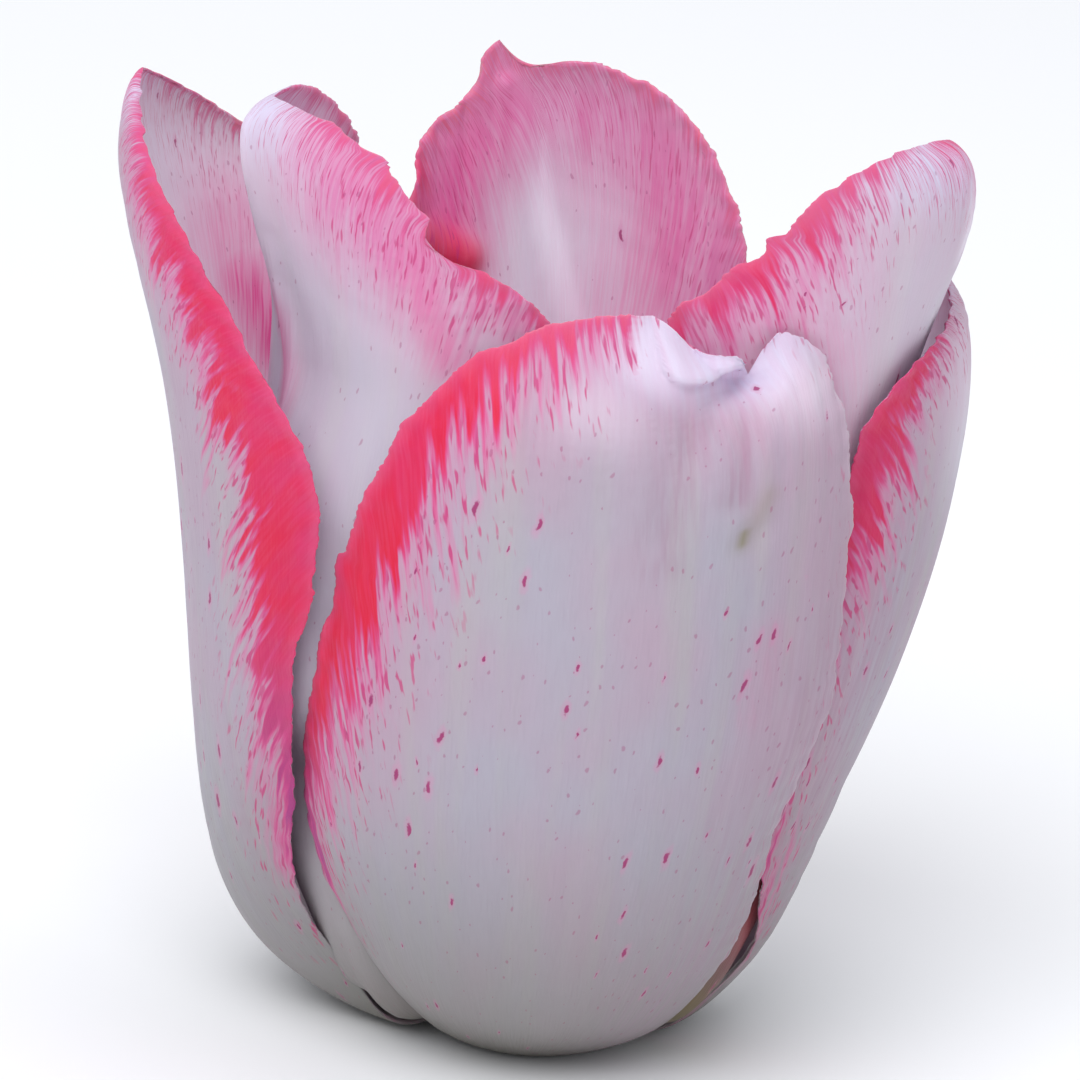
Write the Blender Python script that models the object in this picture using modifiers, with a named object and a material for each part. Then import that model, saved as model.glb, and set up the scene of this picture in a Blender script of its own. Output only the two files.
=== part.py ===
"""A cut tulip bloom: six flamed tepals in two whorls round a pistil and six stamens, on the end of its stem.

Run with: blender --background --python part.py

The bloom stands on its underside with its axis on +Z, and the camera side of the flower is at -Y.
Azimuths are in degrees from -Y, growing towards +X. Lengths are in millimetres until `metres` turns them.
"""

import math

import bmesh
import bpy
import numpy as np

MM = 0.001
COLLECTION = "fringed_tulip"

# Tepals
BLADE_THICKNESS = 0.7
BLADE_ROWS = 46
BLADE_COLUMNS = 9
MARGIN_CROWDING = 0.75
MARGIN_TEETH = 0.16
TEETH_WAVES = (71, 113)
MARGIN_RUFFLE = 0.2
RUFFLE_WAVES = 27
# Shares of a tepal's length: where the cut margin sets in at the base and dies out at the tip,
# and where the swell beside the tip's cleft rises
CUT_RISE = (0.15, 0.3)
CUT_FALL = (0.9, 1.0)
SWELL_RISE = (0.66, 0.86)

# Receptacle, with the stub of the cut stem below it
STEM_RADIUS = 3.3
RECEPTACLE_RADIUS = 4.3
RECEPTACLE_TOP = 6.0
RECEPTACLE_SIDES = 24

# Pistil and stamens
SEAT_GAP = 0.3
PISTIL_HEIGHT = 22.0
PISTIL_SIDES = 24
OVARY_RADIUS = 3.3
STIGMA_RADIUS = 4.6
STAMENS = 6
FIRST_STAMEN = 8
FILAMENT_RING = 3.45
FILAMENT_LENGTH = 9.5
FILAMENT_RADIUS = 0.7
FILAMENT_BOW = 1.1
ANTHER_LENGTH = 13.0
ANTHER_SIDES = 12
ANTHER_FLATNESS = 0.72
STAMEN_LEAN = math.radians(9.0)

# Each tepal is a loft. A row gives three points: on the midrib, on the margin at the lower azimuth
# and on the margin at the higher azimuth, each as azimuth in degrees, radius and height in mm.
# The rows run from the base to the tip. "bend" says how late each half turns in towards its margin:
# 2 is an even arc, and more leaves the half flat with a tucked edge. "swell" raises a hump on each
# side of the midrib near the tip, so that the tip itself lies in a cleft.
TEPALS = {
    "tepal_outer_front": {
        "bend": (2.0, 2.4),
        "swell": 1.1,
        "rows": [
            ((6, 4.7, 3.3), (-34, 4.7, 3.3), (52, 4.7, 3.3)),
            ((6, 7.2, -0.12), (-34, 7.0, 0.4), (55, 7.0, 0.5)),
            ((6, 10.4, 0.8), (-34, 9.8, 1.3), (57, 9.8, 1.1)),
            ((5, 14.6, 3.3), (-44, 12.8, 4.6), (57, 12.8, 3.6)),
            ((3, 19.5, 8.6), (-49, 17.5, 12.0), (51, 17.6, 9.6)),
            ((3, 23.5, 16.0), (-49.5, 20.2, 18.5), (47, 21.2, 17.0)),
            ((4, 26.0, 25.0), (-41.0, 23.0, 27.8), (48.5, 24.2, 26.5)),
            ((8, 27.2, 34.5), (-34.5, 24.3, 36.8), (49.3, 25.4, 35.5)),
            ((13, 26.8, 42.5), (-28.5, 25.0, 43.0), (46.8, 25.8, 44.0)),
            ((19, 25.6, 47.0), (-17, 24.2, 50.7), (45.0, 25.0, 49.8)),
            ((24, 24.2, 49.2), (-2, 22.3, 54.2), (42.6, 24.0, 52.5)),
            ((27.5, 23.4, 49.9), (10, 21.4, 54.8), (39.8, 23.3, 53.4)),
            ((29.5, 23.0, 50.2), (17.3, 21.4, 54.3), (37.2, 22.9, 53.6)),
            ((30.6, 22.7, 50.4), (21.5, 22.7, 52.8), (34.8, 22.7, 53.2)),
            ((31.2, 22.6, 50.6), (27.0, 23.4, 52.5), (33.0, 22.6, 52.2)),
            ((31.4, 22.5, 50.8), (31.4, 22.5, 50.8), (31.4, 22.5, 50.8)),
        ],
    },
    "tepal_outer_left": {
        "bend": (2.0, 2.0),
        "swell": 0.0,
        "rows": [
            ((-108, 4.7, 3.3), (-156, 4.7, 3.3), (-58, 4.7, 3.3)),
            ((-108, 6.9, 0.6), (-160, 6.9, 0.7), (-57, 6.9, 0.7)),
            ((-108, 9.8, -0.12), (-164, 9.7, 0.7), (-57, 9.7, 0.5)),
            ((-108, 16.0, 1.8), (-165, 13.5, 3.8), (-58, 13.5, 4.4)),
            ((-108, 20.2, 6.0), (-166, 17.5, 9.5), (-58, 17.0, 8.8)),
            ((-108, 22.7, 14.0), (-166, 20.5, 17.0), (-49, 21.2, 17.6)),
            ((-108, 24.0, 25.0), (-164, 22.5, 26.0), (-42.3, 24.1, 27.8)),
            ((-108, 25.3, 35.0), (-160, 24.0, 36.0), (-37.4, 25.2, 37.0)),
            ((-106, 27.3, 45.0), (-152, 25.3, 45.0), (-40.5, 26.0, 44.6)),
            ((-104, 29.7, 53.0), (-142, 27.0, 51.2), (-51, 26.8, 49.8)),
            ((-102, 30.8, 58.0), (-130, 28.2, 55.2), (-65, 27.9, 55.2)),
            ((-100, 30.6, 61.4), (-116, 29.2, 59.2), (-81, 28.6, 59.4)),
            ((-99, 29.8, 62.6), (-99, 29.8, 62.6), (-99, 29.8, 62.6)),
        ],
    },
    "tepal_outer_right": {
        "bend": (2.0, 2.0),
        "swell": 0.0,
        "rows": [
            ((118, 4.7, 3.3), (66, 4.7, 3.3), (168, 4.7, 3.3)),
            ((118, 6.9, 0.6), (68, 6.9, 0.7), (171, 6.9, 0.7)),
            ((118, 9.8, -0.12), (71, 9.7, 0.6), (174, 9.7, 0.7)),
            ((116, 14.6, 2.8), (73, 12.8, 3.9), (175, 13.5, 3.8)),
            ((115, 17.4, 8.0), (65, 16.4, 9.6), (175, 17.5, 9.5)),
            ((115, 20.4, 17.0), (50, 20.0, 19.6), (174, 20.5, 17.0)),
            ((115, 24.0, 27.0), (46.5, 22.6, 29.4), (171, 22.8, 27.0)),
            ((115, 26.5, 37.0), (48, 23.5, 37.6), (166, 24.3, 36.0)),
            ((115, 27.2, 45.0), (52, 24.4, 45.0), (158, 25.0, 43.0)),
            ((114, 26.6, 50.0), (58, 25.6, 49.6), (148, 24.8, 47.6)),
            ((113, 25.6, 52.0), (73, 25.4, 51.6), (136, 24.6, 50.4)),
            ((111, 24.8, 53.2), (92, 24.7, 52.8), (124, 24.4, 52.3)),
            ((110, 24.4, 53.7), (110, 24.4, 53.7), (110, 24.4, 53.7)),
        ],
    },
    "tepal_inner_front_left": {
        "bend": (1.8, 1.8),
        "swell": 0.0,
        "rows": [
            ((-56, 4.7, 5.2), (-104, 4.7, 5.2), (-8, 4.7, 5.2)),
            ((-56, 7.0, 2.7), (-106, 7.0, 2.7), (-6, 7.0, 2.7)),
            ((-56, 10.0, 3.2), (-108, 10.0, 3.4), (-4, 10.0, 3.6)),
            ((-56, 13.4, 7.4), (-110, 13.4, 7.6), (0, 13.4, 7.6)),
            ((-57, 16.8, 15.0), (-112, 16.2, 15.0), (2, 17.2, 15.0)),
            ((-58, 19.4, 25.0), (-112, 17.8, 25.0), (4, 19.4, 25.0)),
            ((-59, 20.6, 35.0), (-110, 17.4, 35.0), (5, 20.5, 36.0)),
            ((-60, 20.8, 44.0), (-107, 16.2, 44.0), (4, 20.6, 46.0)),
            ((-60, 21.5, 51.0), (-100, 15.2, 52.0), (-4, 20.0, 53.7)),
            ((-60, 23.4, 57.0), (-91, 14.6, 58.3), (-19, 20.6, 57.5)),
            ((-60, 24.7, 61.5), (-80, 16.0, 62.4), (-32, 21.4, 61.1)),
            ((-60, 24.6, 64.0), (-71, 19.0, 64.8), (-44, 22.0, 64.0)),
            ((-59.5, 23.4, 65.2), (-59.5, 23.4, 65.2), (-59.5, 23.4, 65.2)),
        ],
    },
    "tepal_inner_front_right": {
        "bend": (1.7, 1.7),
        "swell": 0.0,
        "rows": [
            ((70, 4.7, 5.2), (20, 4.7, 5.2), (118, 4.7, 5.2)),
            ((70, 7.0, 2.7), (18, 7.0, 2.7), (121, 7.0, 2.7)),
            ((70, 10.0, 3.2), (16, 10.0, 3.6), (124, 10.0, 3.4)),
            ((70, 13.0, 7.4), (15, 13.4, 7.6), (125, 13.4, 7.6)),
            ((70, 16.2, 15.0), (14, 17.4, 15.0), (124, 16.0, 15.0)),
            ((70, 19.4, 25.0), (13, 19.4, 25.0), (122, 18.6, 25.0)),
            ((70, 21.4, 35.0), (12, 20.5, 36.0), (119, 20.0, 35.0)),
            ((70, 22.6, 44.0), (13, 20.5, 46.0), (115, 20.6, 44.0)),
            ((70, 24.2, 51.0), (20.3, 19.4, 54.2), (110, 21.0, 51.0)),
            ((69, 26.6, 57.5), (35, 20.9, 58.2), (100, 22.4, 57.0)),
            ((68, 27.2, 61.6), (42, 23.0, 62.0), (88, 23.8, 61.5)),
            ((67, 26.6, 64.0), (53, 24.6, 64.8), (76, 24.6, 64.0)),
            ((65.5, 25.2, 65.0), (65.5, 25.2, 65.0), (65.5, 25.2, 65.0)),
        ],
    },
    "tepal_inner_back": {
        "bend": (2.0, 2.0),
        "swell": 0.0,
        "rows": [
            ((180, 4.7, 5.2), (132, 4.7, 5.2), (228, 4.7, 5.2)),
            ((180, 7.0, 2.7), (131, 7.0, 2.7), (230, 7.0, 2.7)),
            ((180, 10.0, 3.2), (130, 10.0, 3.5), (232, 10.0, 3.5)),
            ((180, 13.4, 7.4), (130, 13.2, 7.6), (233, 13.2, 7.6)),
            ((180, 17.2, 15.0), (130, 16.4, 15.0), (232, 16.4, 15.0)),
            ((180, 20.0, 25.0), (131, 18.8, 25.0), (230, 18.8, 25.0)),
            ((180, 21.8, 35.0), (134, 20.4, 35.0), (227, 20.4, 35.0)),
            ((181, 22.4, 44.0), (141, 21.0, 44.0), (221, 20.8, 44.5)),
            ((183, 22.7, 51.0), (149, 21.8, 51.0), (213.5, 21.4, 52.6)),
            ((186, 22.8, 55.5), (158, 22.0, 56.8), (208, 21.8, 56.5)),
            ((190, 22.8, 58.6), (174, 22.0, 60.7), (202, 22.0, 58.2)),
            ((193, 22.7, 60.0), (185, 22.2, 60.9), (199.4, 22.4, 59.8)),
            ((194.5, 22.6, 61.3), (191, 22.4, 60.4), (198.6, 22.5, 61.2)),
            ((195.7, 22.5, 62.2), (195.7, 22.5, 62.2), (195.7, 22.5, 62.2)),
        ],
    },
}


def metres(points):
    return [tuple(float(c) * MM for c in p) for p in points]


def place(azimuth, radius, height):
    """Cartesian points from azimuths in degrees, radii and heights."""
    a = np.radians(azimuth)
    return np.stack([radius * np.sin(a), -radius * np.cos(a), height], axis=-1)


def natural_spline(knots, values, at):
    """The natural cubic spline through `values`, one row a knot, read at each place in `at`."""
    count = len(knots)
    gap = np.diff(knots)
    slope = np.diff(values, axis=0) / gap[:, None]
    system = np.eye(count)
    right = np.zeros(values.shape)
    for i in range(1, count - 1):
        system[i, i - 1 : i + 2] = gap[i - 1], 2 * (gap[i - 1] + gap[i]), gap[i]
        right[i] = 6 * (slope[i] - slope[i - 1])
    second = np.linalg.solve(system, right)
    i = np.clip(np.searchsorted(knots, at) - 1, 0, count - 2)
    t = (at - knots[i])[:, None]
    h = gap[i][:, None]
    linear = slope[i] - h * (2 * second[i] + second[i + 1]) / 6
    cubic = (second[i + 1] - second[i]) / (6 * h)
    return values[i] + t * linear + t**2 * second[i] / 2 + t**3 * cubic


def guide_lines(tepal, at):
    """Midrib, low margin and high margin as azimuth, radius, height, at each share of the length."""
    rows = np.array(tepal["rows"], float)
    points = place(rows[..., 0], rows[..., 1], rows[..., 2])
    step = np.linalg.norm(np.diff(points, axis=0), axis=-1).mean(axis=1)
    knots = np.concatenate([[0.0], np.cumsum(step)]) / step.sum()
    lines = natural_spline(knots, rows.reshape(len(rows), 9), at)
    return lines.reshape(len(at), 3, 3)


def fade(x, start, end):
    """0 up to start, 1 from end on, smooth between."""
    t = np.clip((x - start) / (end - start), 0.0, 1.0)
    return t * t * (3 - 2 * t)


def margin_wave(along, phase):
    """A slightly uneven row of shallow teeth, from -1 to 1."""
    coarse, fine = TEETH_WAVES
    return 0.6 * np.sin(coarse * along + phase) + 0.4 * np.sin(fine * along + 2.3 * phase)


def blade_grid(tepal, phase):
    """The outer face of a tepal as a grid of points, base to tip and margin to margin."""
    along = np.linspace(0.0, 1.0, BLADE_ROWS)
    across = np.linspace(-1.0, 1.0, BLADE_COLUMNS)
    across = np.sign(across) * np.abs(across) ** MARGIN_CROWDING
    lines = guide_lines(tepal, along)
    cut = fade(along, *CUT_RISE) * (1 - fade(along, *CUT_FALL))
    swell = tepal["swell"] * fade(along, *SWELL_RISE) * (1 - fade(along, *CUT_FALL))
    grid = np.zeros((BLADE_ROWS, BLADE_COLUMNS, 3))
    for column, t in enumerate(across):
        side = 1 if t < 0 else 2
        sign = -1.0 if t < 0 else 1.0
        bend = tepal["bend"][side - 1]
        share = np.array([abs(t), abs(t) ** bend, abs(t) ** 2])
        point = lines[:, 0] + (lines[:, side] - lines[:, 0]) * share
        teeth = MARGIN_TEETH * abs(t) ** 6 * cut * margin_wave(along, phase + side)
        point[:, 0] += sign * np.degrees(teeth / np.maximum(point[:, 1], 1.0))
        ruffle = MARGIN_RUFFLE * abs(t) ** 4 * cut
        point[:, 1] += ruffle * np.sin(RUFFLE_WAVES * along + phase * sign)
        point[:, 1] += swell * math.sin(math.pi * abs(t)) ** 2
        grid[:, column] = point
    grid[..., 2] = np.maximum(grid[..., 2], 0.0)
    return place(grid[..., 0], grid[..., 1], grid[..., 2])


def material(name, colour, roughness):
    """A Principled material for one kind of sub-part."""
    made = bpy.data.materials.new(name)
    made.use_nodes = True
    shader = made.node_tree.nodes["Principled BSDF"]
    shader.inputs["Base Color"].default_value = (*colour, 1.0)
    shader.inputs["Roughness"].default_value = roughness
    shader.inputs["Metallic"].default_value = 0.0
    made.diffuse_color = (*colour, 1.0)
    return made


def add_object(name, data, finish, collection):
    obj = bpy.data.objects.new(name, data)
    obj.data.materials.append(finish)
    collection.objects.link(obj)
    return obj


def add_blade(name, tepal, phase, finish, collection):
    """A tepal: its outer face as triangles, so that Solidify splits both faces alike."""
    grid = blade_grid(tepal, phase)
    rows, columns = grid.shape[:2]
    points = list(grid[:-1].reshape(-1, 3)) + [grid[-1, columns // 2]]
    tip = len(points) - 1
    faces = []
    for i in range(rows - 2):
        for j in range(columns - 1):
            a = i * columns + j
            b, c, d = a + 1, a + columns + 1, a + columns
            faces += [(a, b, c), (a, c, d)] if j < columns // 2 else [(a, b, d), (b, c, d)]
    last = (rows - 2) * columns
    faces += [(last + j, last + j + 1, tip) for j in range(columns - 1)]
    mesh = bpy.data.meshes.new(name)
    mesh.from_pydata(metres(points), [], faces)
    mesh.shade_smooth()
    obj = add_object(name, mesh, finish, collection)
    thick = obj.modifiers.new("thickness", "SOLIDIFY")
    thick.thickness = BLADE_THICKNESS * MM
    thick.offset = -1.0
    thick.use_quality_normals = True
    return obj


def add_loft(name, rings, finish, collection):
    """A closed body through rings of equal point counts, bottom to top, with flat ends."""
    sides = len(rings[0])
    shape = bmesh.new()
    loops = [[shape.verts.new(p) for p in metres(ring)] for ring in rings]
    for low, high in zip(loops, loops[1:]):
        for k in range(sides):
            n = (k + 1) % sides
            shape.faces.new((low[k], low[n], high[n], high[k]))
    shape.faces.new(reversed(loops[0]))
    shape.faces.new(loops[-1])
    bmesh.ops.triangulate(shape, faces=shape.faces[:])
    mesh = bpy.data.meshes.new(name)
    shape.to_mesh(mesh)
    shape.free()
    mesh.shade_smooth()
    mesh.set_sharp_from_angle(angle=math.radians(50))
    return add_object(name, mesh, finish, collection)


def add_receptacle(finish, collection):
    """The cut stem's end and the swollen seat of the flower, a turned profile."""
    profile = [
        (0.0, RECEPTACLE_TOP),
        (RECEPTACLE_RADIUS - 0.4, RECEPTACLE_TOP),
        (RECEPTACLE_RADIUS, RECEPTACLE_TOP - 0.5),
        (RECEPTACLE_RADIUS, RECEPTACLE_TOP - 2.6),
        (STEM_RADIUS + 0.1, 1.6),
        (STEM_RADIUS, 0.0),
        (0.0, 0.0),
    ]
    mesh = bpy.data.meshes.new("receptacle")
    edges = [(i, i + 1) for i in range(len(profile) - 1)]
    mesh.from_pydata(metres((r, 0.0, z) for r, z in profile), edges, [])
    obj = add_object("receptacle", mesh, finish, collection)
    turn = obj.modifiers.new("turn", "SCREW")
    turn.steps = RECEPTACLE_SIDES
    turn.render_steps = RECEPTACLE_SIDES
    turn.use_merge_vertices = True
    turn.merge_threshold = 0.00001
    return obj


def add_pistil(finish, collection):
    """A three-angled ovary under a stigma of three folded lobes."""
    low = RECEPTACLE_TOP + SEAT_GAP
    # share of the height, share of the ovary's radius, depth of the three lobes
    profile = [
        (0.00, 0.62, 0.00),
        (0.08, 0.80, 0.05),
        (0.25, 0.98, 0.10),
        (0.45, 1.00, 0.12),
        (0.65, 0.90, 0.12),
        (0.80, 0.74, 0.12),
        (0.86, 0.78, 0.18),
        (0.91, 1.10, 0.30),
        (0.96, STIGMA_RADIUS / OVARY_RADIUS, 0.38),
        (1.00, 1.05, 0.42),
    ]
    rings = []
    for height, radius, lobe in profile:
        ring = []
        for k in range(PISTIL_SIDES):
            a = 2 * math.pi * k / PISTIL_SIDES
            r = OVARY_RADIUS * radius * (1 - lobe * (1 - math.cos(3 * a)) / 2)
            ring.append((r * math.cos(a), r * math.sin(a), low + height * PISTIL_HEIGHT))
        rings.append(ring)
    return add_loft("pistil", rings, finish, collection)


def stamen_frame(index):
    """Azimuth, foot and leaning direction of one of the six stamens."""
    azimuth = math.radians(FIRST_STAMEN + index * 360 / STAMENS)
    outward = np.array([math.sin(azimuth), -math.cos(azimuth), 0.0])
    sideways = np.array([math.cos(azimuth), math.sin(azimuth), 0.0])
    seat = RECEPTACLE_TOP + SEAT_GAP + FILAMENT_RADIUS * math.sin(STAMEN_LEAN)
    foot = FILAMENT_RING * outward + np.array([0.0, 0.0, seat])
    lean = math.sin(STAMEN_LEAN) * outward + math.cos(STAMEN_LEAN) * np.array([0.0, 0.0, 1.0])
    return foot, outward, sideways, lean


def add_filament(index, finish, collection):
    """A tapered stalk that bows outwards, clear of the ovary."""
    foot, outward, _, lean = stamen_frame(index)
    curve = bpy.data.curves.new(f"filament_{index + 1}", "CURVE")
    curve.dimensions = "3D"
    curve.bevel_depth = FILAMENT_RADIUS * MM
    curve.bevel_resolution = 2
    curve.use_fill_caps = True
    spline = curve.splines.new("POLY")
    shares = [0.0, 0.2, 0.4, 0.6, 0.8, 1.0]
    spline.points.add(len(shares) - 1)
    for point, share in zip(spline.points, shares):
        bow = FILAMENT_BOW * math.sin(math.pi * share * 0.5)
        at = foot + share * FILAMENT_LENGTH * lean + bow * outward
        point.co = (*metres([at])[0], 1.0)
        point.radius = 1.0 - 0.5 * share
    return add_object(f"filament_{index + 1}", curve, finish, collection)


def add_anther(index, finish, collection):
    """A long pollen sac of two lobes with a groove down each face."""
    foot, outward, sideways, lean = stamen_frame(index)
    start = foot + (FILAMENT_LENGTH + SEAT_GAP) * lean + FILAMENT_BOW * outward
    face = np.cross(sideways, lean)
    # share of the length, half width
    profile = [(0.0, 0.45), (0.06, 1.05), (0.3, 1.35), (0.6, 1.3), (0.88, 1.0), (1.0, 0.4)]
    rings = []
    for share, half in profile:
        middle = start + share * ANTHER_LENGTH * lean
        ring = []
        for k in range(ANTHER_SIDES):
            a = 2 * math.pi * k / ANTHER_SIDES
            wide = half * math.cos(a)
            groove = 0.62 + 0.38 * abs(math.cos(a))
            deep = ANTHER_FLATNESS * half * math.sin(a) * groove
            ring.append(middle + wide * sideways - deep * face)
        rings.append(ring)
    return add_loft(f"anther_{index + 1}", rings, finish, collection)


def main():
    for obj in list(bpy.data.objects):
        bpy.data.objects.remove(obj)
    collection = bpy.data.collections.new(COLLECTION)
    bpy.context.scene.collection.children.link(collection)
    tepal_finish = material("tepal", (0.62, 0.48, 0.60), 0.55)
    green = material("stem_green", (0.30, 0.40, 0.16), 0.6)
    pale_green = material("pistil_green", (0.52, 0.60, 0.34), 0.5)
    filament_finish = material("filament", (0.72, 0.72, 0.52), 0.55)
    pollen = material("pollen", (0.10, 0.04, 0.09), 0.85)
    for number, (name, tepal) in enumerate(TEPALS.items()):
        add_blade(name, tepal, 1.7 * number, tepal_finish, collection)
    add_receptacle(green, collection)
    add_pistil(pale_green, collection)
    for index in range(STAMENS):
        add_filament(index, filament_finish, collection)
        add_anther(index, pollen, collection)


main()
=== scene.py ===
"""The looks of a half-open tulip bloom with flamed, finely toothed tepals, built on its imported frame.

The bloom stands on its underside with its axis on +Z, and the camera side of the flower is at -Y.
Azimuths are in degrees from -Y, growing towards +X. Lengths are in millimetres until `metres` turns them.
"""

import math

import bpy
import numpy as np
from mathutils import Matrix
from mathutils.kdtree import KDTree


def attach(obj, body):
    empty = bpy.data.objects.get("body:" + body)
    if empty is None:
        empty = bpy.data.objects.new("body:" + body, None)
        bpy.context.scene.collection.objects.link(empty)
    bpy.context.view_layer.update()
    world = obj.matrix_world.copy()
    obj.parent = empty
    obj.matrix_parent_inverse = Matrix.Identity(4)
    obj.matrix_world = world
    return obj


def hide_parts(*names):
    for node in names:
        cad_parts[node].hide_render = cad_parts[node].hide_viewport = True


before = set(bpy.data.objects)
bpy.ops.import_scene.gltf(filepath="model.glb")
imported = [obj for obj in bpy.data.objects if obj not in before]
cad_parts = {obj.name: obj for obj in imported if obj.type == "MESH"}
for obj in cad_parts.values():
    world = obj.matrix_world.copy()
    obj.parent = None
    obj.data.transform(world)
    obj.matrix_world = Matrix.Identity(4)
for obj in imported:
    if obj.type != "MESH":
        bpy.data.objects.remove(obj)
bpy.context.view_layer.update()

MM = 0.001

# Camera: the photograph's angle, as a long lens that frames 1080 x 1080 pixels
FRAME_PX = 1080
PX_PER_MM = 15.0
CAMERA_DISTANCE = 650.0
CAMERA_ELEVATION = math.radians(16.0)
CAMERA_ROLL = math.radians(4.0)
SENSOR = 36.0
AIM_HEIGHT = 32.0
AIM_PX = (553.0, 560.0)

# Studio, in metres
SKY_COLOUR = (0.93, 0.95, 1.0)
SKY_STRENGTH = 0.67
LIGHT_COLOUR = (0.97, 0.985, 1.0)
LIGHT_AIM = (0.0, 0.0, 0.035)
FLOOR_HALF = 3.0
FLOOR_DROP = 0.0001

# Tepal meshes
ROWS = 500
COLUMNS = 61
MARGIN_CROWDING = 0.78
RIM_THICKNESS = 0.26
MID_THICKNESS = 0.6
RIM_ROUNDING = 0.35

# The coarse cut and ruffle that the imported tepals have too
COARSE_TEETH = 0.16
TEETH_WAVES = (71, 113)
RUFFLE = 0.2
RUFFLE_WAVES = 27
CUT_RISE = (0.15, 0.3)
CUT_FALL = (0.9, 1.0)
SWELL_RISE = (0.66, 0.86)

# Colours of the tepals, linear; some of them carry painted shade and painted light, as noted
BODY_COOL = (0.375, 0.35, 0.415)
BODY_WARM = (0.41, 0.315, 0.39)
BODY_CREAM = (0.39, 0.38, 0.38)
BODY_SHADE = (0.33, 0.27, 0.34)
# Partly the tips' own whiter colour, partly painted light: bluish sky light on the tips that face upwards
TIP_WHITE_AND_SKYLIGHT = (0.66, 0.72, 0.95)
# Painted shade: grey that darkens the lower half of every tepal
PAINTED_SHADE_GREY = (0.25, 0.24, 0.228)
# The base's own olive green, darkened further with painted shade
FOOT_OLIVE_AND_SHADE = (0.10, 0.092, 0.06)
WASH_PINK = (0.60, 0.20, 0.37)
LOW_MAGENTA = (0.36, 0.045, 0.20)
CRIMSON = (0.66, 0.010, 0.043)
ROSE_RED = (0.60, 0.02, 0.10)
# Coral for streaks in the red, and painted glow where light shines through the thin margins and tips
CORAL_PINK = (0.68, 0.075, 0.20)
BLUSH = (0.60, 0.15, 0.32)
FLAME_PINK = (0.60, 0.06, 0.215)
FLECK_MAGENTA = (0.30, 0.018, 0.12)
DASH_PINK = (0.50, 0.022, 0.15)
STREAK_MAUVE = (0.42, 0.17, 0.34)
# What paleness leads to: partly the faces' own paler colour, partly painted light
FACE_WHITE = (0.80, 0.74, 0.86)
STAIN_ROSE = (0.70, 0.07, 0.265)
STAIN_CRIMSON = (0.66, 0.02, 0.07)
# Painted shade: dark brown on the inner front right tepal where it shows in the deep gap between the front
# and right tepals
GAP_SHADE_BROWN = (0.12, 0.055, 0.05)
STAIN_OLIVE = (0.22, 0.20, 0.10)
# Painted shade: mauve-grey laid in folds and creases, and where surfaces turn away into gaps
PAINTED_SHADE_MAUVE = (0.34, 0.23, 0.30)

# Finer detail of the surface
FINE_TEETH = 0.22
TOOTH_PITCH = 0.62
RIPPLE = 0.06
RIPPLE_PITCH = 2.1
VEIN_RIDGE = 0.035

# Radius in mm at which the azimuth is read as a distance across the veins
VEIN_RADIUS = 24.0

# The hidden organs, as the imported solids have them
STEM_RADIUS = 3.3
RECEPTACLE_RADIUS = 4.3
RECEPTACLE_TOP = 6.0
SEAT_GAP = 0.3
PISTIL_HEIGHT = 22.0
OVARY_RADIUS = 3.3
STIGMA_RADIUS = 4.6
STAMENS = 6
FIRST_STAMEN = 8.0
FILAMENT_RING = 3.45
FILAMENT_LENGTH = 9.5
FILAMENT_RADIUS = 0.7
FILAMENT_BOW = 1.1
FILAMENT_SIDES = 28
ANTHER_LENGTH = 13.0
ANTHER_FLATNESS = 0.72
STAMEN_LEAN = math.radians(9)

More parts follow.
